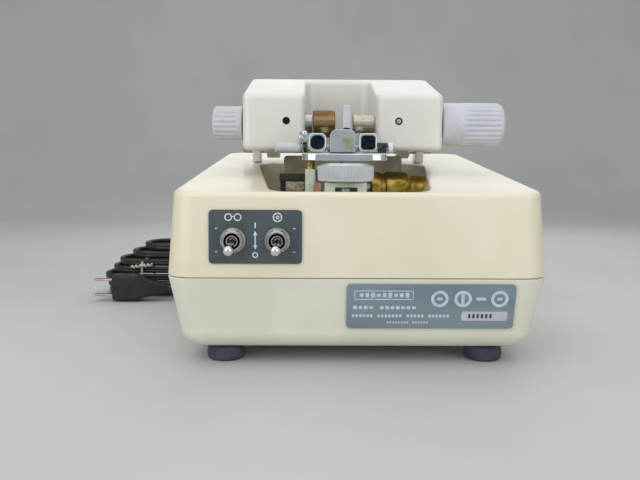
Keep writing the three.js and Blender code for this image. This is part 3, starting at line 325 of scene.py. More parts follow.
finishLook = {
    "coverPaint": {"light": tint(232, 226, 204), "dark": tint(226, 218, 192), "roughness": (0.28, 0.38),
                   "coat": 0.35,
                   "cloudScale": 14, "grainScale": 900, "bump": 0.12},
    "basePaint": {"light": tint(226, 225, 210), "dark": tint(219, 217, 200), "roughness": (0.42, 0.52),
                  "coat": 0.1,
                  "cloudScale": 18, "grainScale": 1400, "bump": 0.2},
    "headPaint": {"light": tint(226, 225, 220), "dark": tint(219, 217, 210), "roughness": (0.24, 0.34),
                  "coat": 0.4,
                  "cloudScale": 22, "grainScale": 900, "bump": 0.1},
    "bracketPaint": {"light": tint(198, 206, 188), "dark": tint(176, 186, 166), "roughness": (0.4, 0.6),
                     "cloudScale": 90, "bump": 0.3},
    "footRubber": {"light": tint(74, 78, 90), "dark": tint(52, 56, 70), "roughness": (0.6, 0.8),
                   "cloudScale": 120,
                   "bump": 0.4},
    "slatePlate": {"light": tint(74, 88, 92), "dark": tint(58, 72, 76), "roughness": (0.32, 0.48),
                   "cloudScale": 60,
                   "bump": 0.15, "stretch": (1, 1, 0.3)},
    "namePlate": {"light": tint(138, 154, 163), "dark": tint(124, 141, 150), "roughness": (0.3, 0.45),
                  "metal": 0.35,
                  "cloudScale": 70, "bump": 0.12, "stretch": (0.25, 1, 1)},
    "printWhite": {"light": tint(226, 232, 232), "dark": tint(208, 216, 218), "roughness": (0.45, 0.6),
                   "cloudScale": 300},
    "printBlue": {"light": tint(203, 216, 227), "dark": tint(184, 200, 212), "roughness": (0.4, 0.55),
                  "cloudScale": 300},
    "printDark": {"light": tint(58, 68, 78), "dark": tint(44, 52, 62), "roughness": (0.4, 0.55),
                  "cloudScale": 300},
    "knobPlastic": {"light": tint(206, 208, 216), "dark": tint(192, 194, 204), "roughness": (0.36, 0.5),
                    "cloudScale": 60, "bump": 0.18},
    "leftKnobPlastic": {"light": tint(198, 199, 204), "dark": tint(184, 185, 190), "roughness": (0.38, 0.52),
                        "cloudScale": 60, "bump": 0.2},
    "dialMetal": {"light": tint(206, 210, 214), "dark": tint(188, 192, 196), "roughness": (0.34, 0.46),
                  "metal": 0.25,
                  "cloudScale": 90, "bump": 0.15},
    "blockMetal": {"light": tint(190, 196, 200), "dark": tint(150, 156, 162), "roughness": (0.25, 0.42),
                   "metal": 0.7,
                   "cloudScale": 90, "bump": 0.2},
    "chrome": {"light": tint(226, 232, 234), "dark": tint(206, 212, 216), "roughness": (0.05, 0.14),
               "metal": 1,
               "cloudScale": 60, "bump": 0.03},
    # Dark polished metal for the guide faces; the same dark on the finger's root is painted slot shade.
    "darkMirrorAndSlotShade": {"light": tint(40, 52, 66), "dark": tint(18, 26, 38), "roughness": (0.06, 0.2),
                   "metal": 0.9,
                   "cloudScale": 260, "bump": 0.05},
    "steel": {"light": tint(190, 192, 194), "dark": tint(150, 152, 154), "roughness": (0.22, 0.4), "metal": 1,
              "cloudScale": 80, "grainScale": 2400, "bump": 0.1, "stretch": (0.2, 1, 1)},
    "agedBrass": {"light": tint(176, 152, 78), "dark": tint(128, 102, 36), "roughness": (0.2, 0.42),
                  "metal": 1,
                  "cloudScale": 190, "from": 0.4, "to": 0.62, "bump": 0.25},
    "brownBrass": {"light": tint(168, 142, 104), "dark": tint(112, 88, 58), "roughness": (0.2, 0.42),
                   "metal": 1,
                   "cloudScale": 120, "bump": 0.15, "stretch": (0.3, 1, 1)},
    "nickel": {"light": tint(206, 202, 188), "dark": tint(168, 160, 142), "roughness": (0.2, 0.36),
               "metal": 0.9,
               "cloudScale": 120, "bump": 0.12},
    "bladeMetal": {"light": tint(206, 190, 178), "dark": tint(176, 158, 146), "roughness": (0.2, 0.35),
                   "metal": 1,
                   "cloudScale": 200, "bump": 0.1},
    "copper": {"light": tint(206, 152, 132), "dark": tint(170, 110, 92), "roughness": (0.25, 0.4), "metal": 1,
               "cloudScale": 160, "bump": 0.12},
    "blackPlastic": {"light": tint(32, 35, 28), "dark": tint(20, 22, 18), "roughness": (0.4, 0.6),
                     "cloudScale": 120,
                     "bump": 0.25},
    # Painted shade: near-black discs standing in for the dark inside of the grub holes.
    "paintedHoleShade": {"light": tint(14, 14, 15), "dark": tint(6, 6, 7), "roughness": (0.9, 1), "cloudScale": 300},
    "springSteel": {"light": tint(110, 108, 102), "dark": tint(38, 36, 34), "roughness": (0.25, 0.45),
                    "metal": 1,
                    "cloudScale": 300, "bump": 0.1},
    "sponge": {"light": tint(188, 180, 158), "dark": tint(124, 112, 84), "roughness": (0.85, 0.98),
               "cloudScale": 420, "grainScale": 1500, "bump": 1, "bumpDepth": 0.0008},
    "greyTray": {"light": tint(190, 188, 168), "dark": tint(158, 152, 124), "roughness": (0.4, 0.6),
                 "cloudScale": 60, "bump": 0.2},
    "abrasive": {"light": tint(150, 148, 142), "dark": tint(96, 94, 90), "roughness": (0.6, 0.85),
                 "metal": 0.3,
                 "cloudScale": 900, "grainScale": 4000, "bump": 0.6},
    "beltRubber": {"light": tint(36, 36, 36), "dark": tint(22, 22, 22), "roughness": (0.6, 0.8),
                   "cloudScale": 300,
                   "bump": 0.3},
    "cordRubber": {"light": tint(30, 31, 33), "dark": tint(17, 18, 20), "roughness": (0.3, 0.46),
                   "cloudScale": 150,
                   "bump": 0.2},
    "benchTop": {"light": (0.6, 0.6, 0.595), "dark": (0.54, 0.54, 0.535), "roughness": (0.45, 0.6),
                 "cloudScale": 3,
                 "bump": 0.05},
    "tieWire": {"light": tint(214, 208, 192), "dark": tint(188, 180, 160), "roughness": (0.4, 0.6),
                "cloudScale": 300},
}
finish = {name: toned(name, look) for name, look in finishLook.items()}
placeCamera()
placeLights()

# Mains lead: one twin flat lead from the gland, wound into a hank beside the body, out to the plug.
leadLook = {"width": 6, "thickness": 3.6}
hankLook = {"turns": 7, "rise": 6.6, "floorHeight": 3.4, "rear": 243.5, "front": 204.5, "right": -112.5,
            "left": -204.5, "stepAbove": 21, "stepBack": 1.46, "stray": 1.1}
glandRoute = [(-60, 224, 24), (-60, 239.4, 24), (-60, 244, 23.6), (-61.5, 254, 22), (-66, 262, 18.5),
              (-73, 267.5, 14), (-82, 270, 9.5), (-92, 269.5, 6), (-102, 266.5, 4), (-112, 262, 3.4),
              (-122, 256.5, 3.4), (-133, 251, 3.4), (-145, 246.6, 3.4), (-155, 244.2, 3.4)]
plugRoute = [(-131, 203.2, 43), (-122, 201, 40.8), (-115.4, 198.6, 34.4), (-113, 195, 25), (-115.4, 191, 16),
             (-122, 188.6, 9.4), (-131, 186.6, 7), (-139, 186, 8.6), (-146.6, 186, 10.5), (-152, 186, 10.5)]


# Two round cores side by side: the thickness dips along the middle, as a figure eight's does.
def twinSection(width, thickness, count=24):
    angle = np.linspace(0, 2 * math.pi, count, endpoint=False)
    dip = 1 - 0.34 * np.exp(-(np.cos(angle) / 0.22) ** 2)
    return np.stack([width / 2 * np.cos(angle), thickness / 2 * dip * np.sin(angle) * 1.1], -1)


# The hank's turns: two straight runs joined by half circles, each turn one rise above the last.
# The left ends above stepAbove step back by stepBack for each millimetre of height.
def hankLine():
    radius = (hankLook["rear"] - hankLook["front"]) / 2
    centre = (hankLook["rear"] + hankLook["front"]) / 2
    startX = hankLook["right"] - radius
    turns = []
    for turn in range(hankLook["turns"]):
        height = hankLook["floorHeight"] + hankLook["rise"] * turn
        stray = hankLook["stray"] * math.sin(2.4 * turn + 0.6)
        leftX = hankLook["left"] + radius + hankLook["stepBack"] * max(0,
            height - hankLook["stepAbove"]) + 2 * stray
        fold = np.linspace(0, math.pi, 14)[1:-1]
        run = np.linspace(0, 1, 8)
        x = np.concatenate([startX + (leftX - startX) * run, leftX - radius * np.sin(fold),
                            leftX + (startX - leftX) * run, startX + radius * np.sin(fold)])
        y = centre + np.concatenate([radius + 0 * run, radius * np.cos(fold), -radius + 0 * run,
                                     -radius * np.cos(fold)])
        climb = np.clip((np.arange(len(x)) / len(x) - 0.62) / 0.38, 0, 1)
        z = height + hankLook["rise"] * climb * climb * (3 - 2 * climb)
        first = 4 if turn == 0 else 0  # the lead joins the lowest turn part way along its rear run
        last = 27 if turn == hankLook["turns"] - 1 else len(x)  # and leaves the top turn after its front run
        z = height + 0 * z if turn == hankLook["turns"] - 1 else z
        turns.append(np.stack([x, y + 0.5 * stray * np.sin(x / 17), z], -1)[first:last])
    return np.concatenate(turns)


# The twin section carried along the gland route, the hank and the plug route, joined as one line.
def mainsLead():
    line = smoothLine(np.concatenate([glandRoute, hankLine(), plugRoute]), 1.6)
    forward = np.gradient(line, axis=0)
    # Flat on the floor near the gland, and on edge in the hank.
    lying = np.clip((line[:, 0] + 100) / 12, 0, 1)[:, None]
    upright = np.tile((0.0, 0.0, 1.0), (len(line), 1))
    sideways = np.cross(forward, upright)
    sideways /= np.linalg.norm(sideways, axis=1, keepdims=True)
    lifted = np.cross(sideways, forward)
    across = lying * sideways + (1 - lying) * lifted
    section = twinSection(leadLook["width"], leadLook["thickness"])
    piece = addPiece("mains_lead", [carried(line, across, section)], "base",
                     finish["cordRubber"],
                     ["gland_cord", "plug_cord", "cord_hank"], 60)
    return piece, line


# Moulded plug: a block with a ribbed neck that narrows to the lead, and two thin blades.
plugLook = {"left": -191, "length": 44, "middleY": 186, "halfDepth": 6, "bladeReach": 15.5, "bladeWidth": 6,
            "bladeSheet": 1.4, "bladeHeights": (5.2, 17.9)}


# Plug block and neck: rectangles that shrink towards the lead, and two blades as thin slabs.
def plug():
    left, length = plugLook["left"], plugLook["length"]
    along = np.array([0, 1, 3, 12, 20, 22, 24, 26.5, 29, 31.5, 34, 36.5, 39, 41.5, 43, length])
    tall = np.array([9.8, 10.6, 11.1, 11.1, 11.1, 10.2, 9, 8, 7.2, 6.6, 6, 5.4, 4.8, 4.2, 3.8, 3.2])
    deep = np.array([5.2, 5.7, 6, 6, 6, 5.8, 5.4, 5, 4.7, 4.4, 4.1, 3.9, 3.6, 3.3, 3, 2.6])
    middleZ = 11.7 - 1.2 * np.clip((along - 20) / 20, 0, 1)
    ribs = np.where((along > 25) & (along < 42), 0.4 * np.cos(along * math.pi / 2.5), 0)
    angle = np.linspace(0, 2 * math.pi, 40, endpoint=False)
    square = 0.24
    side = np.sign(np.cos(angle)) * np.abs(np.cos(angle)) ** square
    up = np.sign(np.sin(angle)) * np.abs(np.sin(angle)) ** square
    y = plugLook["middleY"] + (deep + ribs)[:, None] * side
    z = middleZ[:, None] + (tall + ribs)[:, None] * up
    body = skin(np.stack(np.broadcast_arrays((left + along)[:, None], y, z), -1))
    bodyPiece = addPiece("plug_moulding", [body], "base", finish["blackPlastic"],
                         ["plug_body"], 50)
    blades = []
    for name, height in zip(("lower", "upper"), plugLook["bladeHeights"]):
        half = plugLook["bladeWidth"] / 2
        outline = softened([(left - plugLook["bladeReach"], plugLook["middleY"] - half, 2),
                            (left + 2, plugLook["middleY"] - half, 0.2),
                            (left + 2, plugLook["middleY"] + half, 0.2),
                            (left - plugLook["bladeReach"], plugLook["middleY"] + half, 2)])
        blade = slab("z", outline, height - plugLook["bladeSheet"] / 2, height + plugLook["bladeSheet"] / 2,
                     0.3)
        blades.append(addPiece(f"{name}_blade_metal", [blade], "base", finish["bladeMetal"],
                               [f"{name}_plug_blade"]))
    return [bodyPiece, *blades]


# A thin wire tie round the hank: a ring of rounded rectangle, with a twisted tail along the front.
tieLook = {"x": -171, "height": (10, 30.6), "gap": 3.2, "wire": 0.9}


# A round wire carried round a rounded rectangle, with a tail that twists as a helix.
def leadTie():
    low, high = tieLook["height"]
    reach = tieLook["gap"]
    ring = rectangle(hankLook["front"] - reach, hankLook["rear"] + reach - 1, low, high, 4)
    loop = np.stack([np.full(len(ring), tieLook["x"]), ring[:, 0], ring[:, 1]], -1)
    loop = smoothLine(np.concatenate([loop, loop[:1]]), 1.5)
    tail = np.linspace(0, 1, 60)[:, None]
    twist = np.stack([tieLook["x"] - 9 + 18 * tail, hankLook["front"] - reach - 0.6 + 0.8 * np.cos(tail * 34),
                      26 + 0.8 * np.sin(tail * 34) + 2 * tail], -1)[:, 0]
    wire = circle(tieLook["wire"], 8)
    skins = [carried(path, np.tile((0.3, 0.2, 1.0), (len(path), 1)) + path * 0, wire) for path in (twist,)]
    inward = loop - loop.mean(0) + (0, 0.01, 0)
    skins.append(carried(loop, inward, wire))
    return addPiece("lead_tie", skins, "base", finish["tieWire"], (), 60)


# Tapered strain relief: a flange, then rings that get smaller towards the lead.
def strainRelief():
    low, high = nodeBox("strain_relief")
    start = high[1] - 24
    along = np.linspace(start, high[1], 60)
    radius = 5.6 - 2.2 * (along - start) / 24 + 0.35 * np.cos((along - start) * 2 * math.pi / 3)
    profile = [(low[1], 3.8), (start - 0.2, 3.8), (start - 0.2, 6.6), (start + 0.3, 7), (start + 2.4, 7),
               (start + 2.8, 6.6), *zip(along[8:], radius[8:])]
    centre = (middle("strain_relief")[0], 0, middle("strain_relief")[2])
    return addPiece("strain_relief_boot", [turned("y", profile, centre, 48)], "base",
                    finish["blackPlastic"], ["strain_relief"])


leadPiece, leadLine = mainsLead()
plugPieces = plug()
tiePiece = leadTie()
strainRelief()

# Body shells: cream cover over a darker tub.
shellLook = {"seam": 52.3, "draft": 3, "edge": 3, "corner": 15, "wall": 3, "frontTop": 99.2, "rearTop": 124,
             "depth": 215, "taper": 0.08, "tubDraft": 6, "tubEdgeHeight": 12, "tubEdgeWidth": 13,
             "tubFloor": 9.3,
             "seamRoll": 0.7}
wellLook = {"middle": -4.5, "rimFront": 90, "rimRear": 122, "floorWidth": 90, "front": 7.8, "rear": 134,
            "frontSlope": 22.2, "rearSlope": 6, "corner": 12, "rim": 1.2, "floor": 82.2}


# Points round a rectangle with round corners, anticlockwise from the rear right; every ring has the same
# count.
def planRing(x0, x1, y0, y1, corner, perCorner=9, perSide=12):
    radius = np.broadcast_to(corner, (4,)) if np.ndim(corner) else np.full(4, float(corner))
    centreX = np.array([x1, x0, x0, x1]) + radius * np.array([-1, 1, 1, -1])
    centreY = np.array([y1, y1, y0, y0]) + radius * np.array([-1, -1, 1, 1])
    angle = (np.arange(4)[:, None] + np.linspace(0, 1, perCorner)[None, :]) * math.pi / 2
    x = centreX[:, None] + radius[:, None] * np.cos(angle)
    y = centreY[:, None] + radius[:, None] * np.sin(angle)
    share = np.linspace(0, 1, perSide + 2)[1:-1][None, :]
    sideX = x[:, -1:] + (np.roll(x[:, 0], -1)[:, None] - x[:, -1:]) * share
    sideY = y[:, -1:] + (np.roll(y[:, 0], -1)[:, None] - y[:, -1:]) * share
    return np.stack([np.concatenate([x, sideX], 1).ravel(), np.concatenate([y, sideY], 1).ravel()], -1)


# The cover's top is a plane that rises to the rear.
def coverTop(y):
    return shellLook["frontTop"] + (shellLook["rearTop"] - shellLook["frontTop"]) * y / shellLook["depth"]


# The plan of the body moved inwards by a distance, narrowed to the rear by the taper, at a lifted height.
def bodyRing(distance, lift, taper=0.0):
    half, depth = bodyBox["halfWidth"], shellLook["depth"]
    ring = planRing(-half + distance, half - distance, distance, depth - distance,
                    max(shellLook["corner"] - distance / 2, 2))
    narrowed = ring * np.stack([1 - taper * ring[:, 1] / depth, np.ones(len(ring))], -1)
    return np.column_stack([narrowed, lift(ring[:, 1]) + 0 * ring[:, 1]])


# A level of the well: 0 at the rim and 1 at the floor; grow moves it outwards, sink is its depth below
# the rim.
def wellRing(level, grow, sink=0.0):
    eased = level * level * (3 - 2 * level)
    width = wellLook["rimRear"] + (wellLook["floorWidth"] - wellLook["rimRear"]) * eased
    front = wellLook["front"] + wellLook["frontSlope"] * level - grow
    rear = wellLook["rear"] - wellLook["rearSlope"] * level + grow
    ring = planRing(-width / 2 - grow, width / 2 + grow, front, rear, wellLook["corner"] + grow)
    forward = np.clip((wellLook["rear"] - ring[:, 1]) / (wellLook["rear"] - wellLook["front"]), 0, 1)
    x = wellLook["middle"] + ring[:, 0] * (1 - forward * (1 - wellLook["rimFront"] / width))
    top = coverTop(ring[:, 1]) - sink
    return np.column_stack([x, ring[:, 1], top + (wellLook["floor"] - top) * level])


# One closed skin: up the outside, over the rounded edge, across the top, down the well, and back inside
# the wall.
def cover():
    seam, draft, edge, wall = (shellLook[k] for k in ("seam", "draft", "edge", "wall"))
    roll, rim, taper = shellLook["seamRoll"], wellLook["rim"], shellLook["taper"]
    turn = np.linspace(0, math.pi / 2, 8)
    rings = [bodyRing(wall, lambda y: seam), bodyRing(roll, lambda y: seam),
             bodyRing(roll * 0.3, lambda y: seam + roll * 0.3),
             bodyRing(0, lambda y: seam + roll)]
    for share in (0.3, 0.6, 0.9):
        rings.append(bodyRing(draft * share, lambda y: seam + (coverTop(y) - edge - seam) * share,
                              taper * share))
    rings += [bodyRing(draft + edge * (1 - math.cos(a)), lambda y: coverTop(y) - edge * (1 - math.sin(a)),
                       taper)
              for a in turn]
    outer, inner = bodyRing(draft + edge + 0.2, coverTop, taper), wellRing(0, rim + 0.2)
    rings += [outer + (inner - outer) * share for share in (0, 0.03, 0.5, 0.97, 1)]
    rings += [wellRing(0, rim * (1 - math.sin(a)), rim * (1 - math.cos(a))) for a in turn]
    rings += [wellRing(level, 0, rim) for level in np.linspace(0.06, 1, 14)]
    rings += [wellRing(level, wall - 0.4, rim) for level in np.linspace(1, 0.1, 8)]
    rings += [wellRing(0, wall - 0.4, wall), bodyRing(draft + 1.8, lambda y: coverTop(y) - wall, taper),
              bodyRing(draft + wall, lambda y: coverTop(y) - edge - wall, taper)]
    return addPiece("cover_shell", [skin(np.stack(rings), ring=True)], "base",
                    finish["coverPaint"],
                    ["upper_cover"])


# The plan carried from the seam down a draft, round an elliptical edge to the floor, and back up inside.
def tub():
    draft, high, wide, floor, wall = (shellLook[k] for k in ("tubDraft", "tubEdgeHeight", "tubEdgeWidth",
                                                             "tubFloor",
                                                              "wall"))
    top, roll = shellLook["seam"] - 0.3, shellLook["seamRoll"]
    turn = np.linspace(math.pi / 2, 0, 16)
    rings = [bodyRing(draft + wide + 8, lambda y: floor)]
    rings += [bodyRing(draft + wide * (1 - math.cos(a)),
                       lambda y: floor + high * (1 - math.sin(a))) for a in turn]
    rings += [bodyRing(draft * (1 - share), lambda y: floor + high + (top - roll - floor - high) * share)
              for share in (0.05, 0.5, 1)]
    rings += [bodyRing(roll * 0.3, lambda y: top - roll * 0.3), bodyRing(roll, lambda y: top),
              bodyRing(wall, lambda y: top)]
    rings += [bodyRing(wall + draft, lambda y: floor + high)]
    rings += [bodyRing(draft + wall + wide * (1 - math.cos(a)),
                       lambda y: floor + wall + high * (1 - math.sin(a)))
              for a in turn[::-3]]
    return addPiece("base_tub", [skin(np.stack(rings))], "base", finish["basePaint"],
                    ["lower_base"])


footLook = {"profile": [(0, 4), (0, 9.6), (0.5, 10.4), (1.4, 10.9), (4, 11.2), (7, 10.9), (8.3, 10.3),
                        (9, 9.4),
                        (9, 4)]}


# Each foot is a profile of height and radius turned about its own upright axis.
def feet():
    for row in ("front", "rear"):
        for side in ("left", "right"):
            node = f"{row}_{side}_foot"
            centre = middle(node) * (1, 1, 0)
            addPiece(f"{node}_rubber", [turned("z", footLook["profile"], centre, 56)], "base",
                     finish["footRubber"], [node])


cover()
tub()
feet()
print("body shells")

# Tilting head: two blocks joined behind a fork, with lugs to the pivot.
headBox = nodeBox("head_casting")
headLook = {"front": headBox[0][1], "rear": 132, "under": 123.5, "frontTop": 158.5, "rearTop": 176,
            "forkLeft": -30.6, "forkRight": 14.7, "forkDepth": 62.4, "corner": 5.5, "forkCorner": 8, "rim": 3.3,
            "pivotY": 147, "pivotZ": 127, "lugRadius": 8, "lugWidth": 10}


# The head's top is a plane: its height grows evenly from the front to the rear.
def headTop(y):
    share = (y - headLook["front"]) / (headLook["rear"] - headLook["front"])
    return headLook["frontTop"] + (headLook["rearTop"] - headLook["frontTop"]) * share


# The fork-shaped plan is carried upwards, inset along a quarter circle at the bottom and top; the top
# follows a plane.
def headCasting():
    left, right = headBox[0][0], headBox[1][0]
    look = headLook
    corner, rim = look["corner"], look["rim"]
    forkRear = look["front"] + look["forkDepth"]
    plan = softened([(left, look["front"], corner), (look["forkLeft"], look["front"], corner),
                     (look["forkLeft"], forkRear, look["forkCorner"]),
                     (look["forkRight"], forkRear, look["forkCorner"]),
                     (look["forkRight"], look["front"], corner), (right, look["front"], corner),
                     (right, look["rear"], corner), (left, look["rear"], corner)], 9)
    turn = np.linspace(0, math.pi / 2, 9)
    offsets = np.concatenate([[rim + 0.4], rim * (1 - np.sin(turn)), rim * (1 - np.cos(turn)), [rim + 0.4]])
    rings = np.stack([inset(plan, offset) for offset in offsets])
    y = rings[..., 1]
    depths = np.concatenate([[0], rim * (1 - np.cos(turn))])[:, None]
    low = look["under"] + depths + 0 * y[:10]
    high = headTop(y[10:]) - depths[::-1]
    grid = np.concatenate([rings, np.concatenate([low, high])[..., None]], -1)
    points, faces = skin(grid)
    count, lids = grid.shape[1], []
    for row in (0, len(grid) - 1):  # the ends are forked, so they are cut into triangles
        flat = [Vector((x, y, 0)) for x, y, _ in grid[row]]
        for one, two, three in tessellate_polygon([flat]):
            edges = (flat[two] - flat[one]).cross(flat[three] - flat[one]).z
            lid = [row * count + corner for corner in (one, two, three)]
            lids.append(lid if (edges > 0) == (row > 0) else lid[::-1])
    body = (points, [face for face in faces if len(face) <= 4] + lids)
    lugs = []
    for x in (left + 10, right - 10 - look["lugWidth"]):
        y, z, radius = look["pivotY"], look["pivotZ"], look["lugRadius"]
        angle = np.linspace(-math.pi / 2, math.pi / 2, 15)
        nose = np.stack([y + radius * np.cos(angle), z + radius * np.sin(angle)], -1)
        outline = np.concatenate([nose, [(look["rear"] - 4, look["under"] + 34),
                                         (look["rear"] - 4, look["under"] + 3)]])
        lugs.append(slab("x", outline, x, x + look["lugWidth"], 1))
    return addPiece("head_body", [body, *lugs], "head", finish["headPaint"], ["head_casting"])


# Grub screw holes in the block faces: a thin lip and a dark disc of painted shade for the holes' depth, the
# right one with a bright screw end and the left one with its screw end in the same painted shade.
grubLook = {"left": (-42.5, 142), "right": (28.6, 142), "radius": 2.9}


# Each of the holes is a lip, a dark disc painted as shade and a screw end, turned about an axis through the
# block face.
def grubScrews():
    front = headLook["front"]
    for side, tip in (("left", 0.5), ("right", 1.3)):
        x, z = grubLook[side]
        radius = grubLook["radius"]
        lip = turned("y", [(front + 0.4, radius), (front - 0.12, radius), (front - 0.2, radius - 0.2),
                           (front - 0.2, radius - 0.5), (front + 0.4, radius - 0.5)], (x, 0, z), 48)
        addPiece(f"{side}_grub_lip", [lip], "head", finish["headPaint"])
        # A flat disc just proud of the face; its near-black is painted shade for the recess.
        holeShadeDisc = turned("y", [(front + 0.4, radius - 0.4), (front - 0.06, radius - 0.4), (front - 0.06, 0.05)],
                      (x, 0, z), 40)
        addPiece(f"{side}_grub_hole_shade", [holeShadeDisc], "head", finish["paintedHoleShade"])
        end = turned("y", [(front, tip + 0.2), (front - 0.1, tip + 0.1), (front - 0.12, tip),
                           (front - 0.1, 0.05)],
                     (x, 0, z), 36)
        # The left screw end takes the same painted shade as the disc; the right one is steel.
        material = finish["paintedHoleShade" if side == "left" else "steel"]
        addPiece(f"{side}_grub_end", [end], "head", material, [f"{side}_grub_screw"])


headCasting()
grubScrews()
print("head")

# Knobs and chucks on the lens axis.
lensAxis = middle("left_chuck")
knobLook = {"leftRadius": 11, "rightRadius": 14, "collar": 12.5, "rightFlutes": 25, "leftFlutes": 20,
            "fluteDepth": 0.85}


# Rounded flutes: the radius dips between the ribs as the square of a sine, where the grip runs.
def flutes(count, start, end, depth):
    def dip(angle, along):
        ends = np.clip(np.minimum(along - start, end - along) / 2.2, 0, 1)
        return -depth * ends * (1 - np.abs(np.sin(angle * count / 2)) ** 0.8)
    return dip


# A profile of along and radius turned about the lens axis, with flutes on the grip.
def knobs():
    low, high = nodeBox("clamp_knob")[:, 0]
    radius, collar = knobLook["rightRadius"], low + knobLook["collar"]
    along = np.linspace(collar + 0.6, high - 4.5, 26)
    turn = np.linspace(0, math.pi / 2, 9)
    profile = [(low, 3), (low, radius - 0.8), (low + 0.8, radius - 0.1), (collar - 0.5, radius - 0.1),
               (collar, radius - 0.35), *[(a, radius) for a in along],
               *zip(high - 4.5 + 4.5 * np.sin(turn), radius - 4.5 * (1 - np.cos(turn))), (high, 5),
               (high, 0.1)]
    grip = turned("x", profile, lensAxis * (0, 1, 1), 360, flutes(knobLook["rightFlutes"], collar, high - 1.5,
                                                                    knobLook["fluteDepth"]))
    addPiece("clamp_knob_grip", [grip], "clamp_screw", finish["knobPlastic"], ["clamp_knob"])
    low, high = nodeBox("left_knob")[:, 0]
    radius = knobLook["leftRadius"]
    along = np.linspace(low + 3, high - 2.4, 22)
    profile = [(low + 0.8, 0.1), (low + 0.8, radius - 4), (low, radius - 3), (low, radius - 2),
               (low + 0.5, radius - 1),
               (low + 1.6, radius - 0.2), *[(a, radius) for a in along], (high - 1.6, radius), (high, radius),
               (high, 4.2)]
    grip = turned("x", profile, lensAxis * (0, 1, 1), 288, flutes(knobLook["leftFlutes"], low + 0.6,
                                                                  high - 2.4,
                                                                    knobLook["fluteDepth"]))
    addPiece("left_knob_grip", [grip], "left_spindle", finish["leftKnobPlastic"],
             ["left_knob"])


# Cylinders with softened rims turned about the lens axis.
def chucks():
    low, high = nodeBox("left_chuck")[:, 0]
    pad = [(low, 4.2), (low, 8.4), (low + 0.6, 9), (high - 2.2, 9), (high - 1.9, 8.6), (high - 0.5, 8.6),
           (high, 8.1), (high, 3), (high - 0.7, 2.2), (high - 0.7, 0.1)]
    addPiece("left_chuck_barrel", [turned("x", pad, lensAxis * (0, 1, 1), 96)], "left_spindle",
             finish["brownBrass"], ["left_chuck"])
    low, high = nodeBox("right_chuck")[:, 0]
    pad = [(low, 0.1), (low, 5.9), (low + 0.5, 6.4), (low + 1.5, 6.5), (low + 1.6, 5.9), (high - 0.5, 5.9),
           (high, 5.5), (high, 1)]
    addPiece("right_chuck_barrel", [turned("x", pad, lensAxis * (0, 1, 1), 96)], "right_spindle",
             finish["nickel"], ["right_chuck"])


knobs()
chucks()
print("knobs and chucks")

# Guide unit: dial, cross plate, centre block and finger, two sprung guide blocks on a rod.
dialBox, plateBox, restBox = nodeBox("depth_dial"), nodeBox("guide_plate"), nodeBox("edge_rest")
rodCentre = middle("guide_rod")
dialLook = {"radius": 17.3, "height": 11, "chamfer": 1.5, "ribs": 120, "ribDepth": 0.22}
plateLook = {"corner": 10.8, "rim": 0.5}
restLook = {"blockHeight": 14, "topCorner": 5, "fingerWidth": 4.8, "finger": -5.5, "blockWidth": 15.2}
springLook = {"wire": 0.42, "right": 5.5, "left": 3}
guideLook = {"size": 10.6, "corner": {"left": 3.6, "right": 2.4}, "faceInset": 1.1, "armWidth": 4}


# Fine upright ribs: the radius follows a cosine of the angle on the straight part of the rim.
def dial():
    top = dialBox[1][2]
    bottom = top - dialLook["height"]
    chamfer, radius = dialLook["chamfer"], dialLook["radius"]

    def ribs(angle, along):
        straight = np.clip(np.minimum(along - bottom - 0.9, top - chamfer + 0.1 - along) / 0.3, 0, 1)
        return dialLook["ribDepth"] * straight * (np.cos(angle * dialLook["ribs"]) - 1)
    profile = [(dialBox[0][2], 0.1), (dialBox[0][2], 3.6), (dialBox[0][2] + 0.6, 4), (bottom - 0.1, 4),
               (bottom, 4.2), (bottom, radius - 1), (bottom + 0.8, radius), (bottom + 1.2, radius),
               (bottom + 1.6, radius), (top - chamfer - 0.4, radius), (top - chamfer, radius),
               (top - 0.3, radius - 1.3), (top, radius - 1.7), (top, 6), (top - 0.4, 5.6), (top - 0.4, 0.1)]
    centre = middle("depth_dial") * (1, 1, 0)
    addPiece("dial_wheel", [turned("z", profile, centre, 960, ribs)], "dial",
             finish["dialMetal"],
             ["depth_dial"])


# A rounded rectangle carried upwards, with both rims softened.
def crossPlate():
    low, high = plateBox
    outline = rectangle(low[0], high[0], low[1], high[1], plateLook["corner"], 14)
    addPiece("cross_plate", [slab("z", outline, low[2], high[2], plateLook["rim"])], "guide_table",
             finish["chrome"], ["guide_plate"])
    centre = middle("guide_stand_off") * (1, 1, 0)
    low, high = nodeBox("guide_stand_off")[:, 2]
    profile = [(low, 0.1), (low, 2.2), (low + 0.4, 2.6), (high - 7.2, 2.6), (high - 7, 2.1), (high - 6, 2.1),
               (high - 5.8, 2.6), (high - 0.4, 2.6), (high, 2.3), (high, 0.1)]
    addPiece("stand_off_pillar", [turned("z", profile, centre, 40)], "guide_table",
             finish["agedBrass"],
             ["guide_stand_off"])
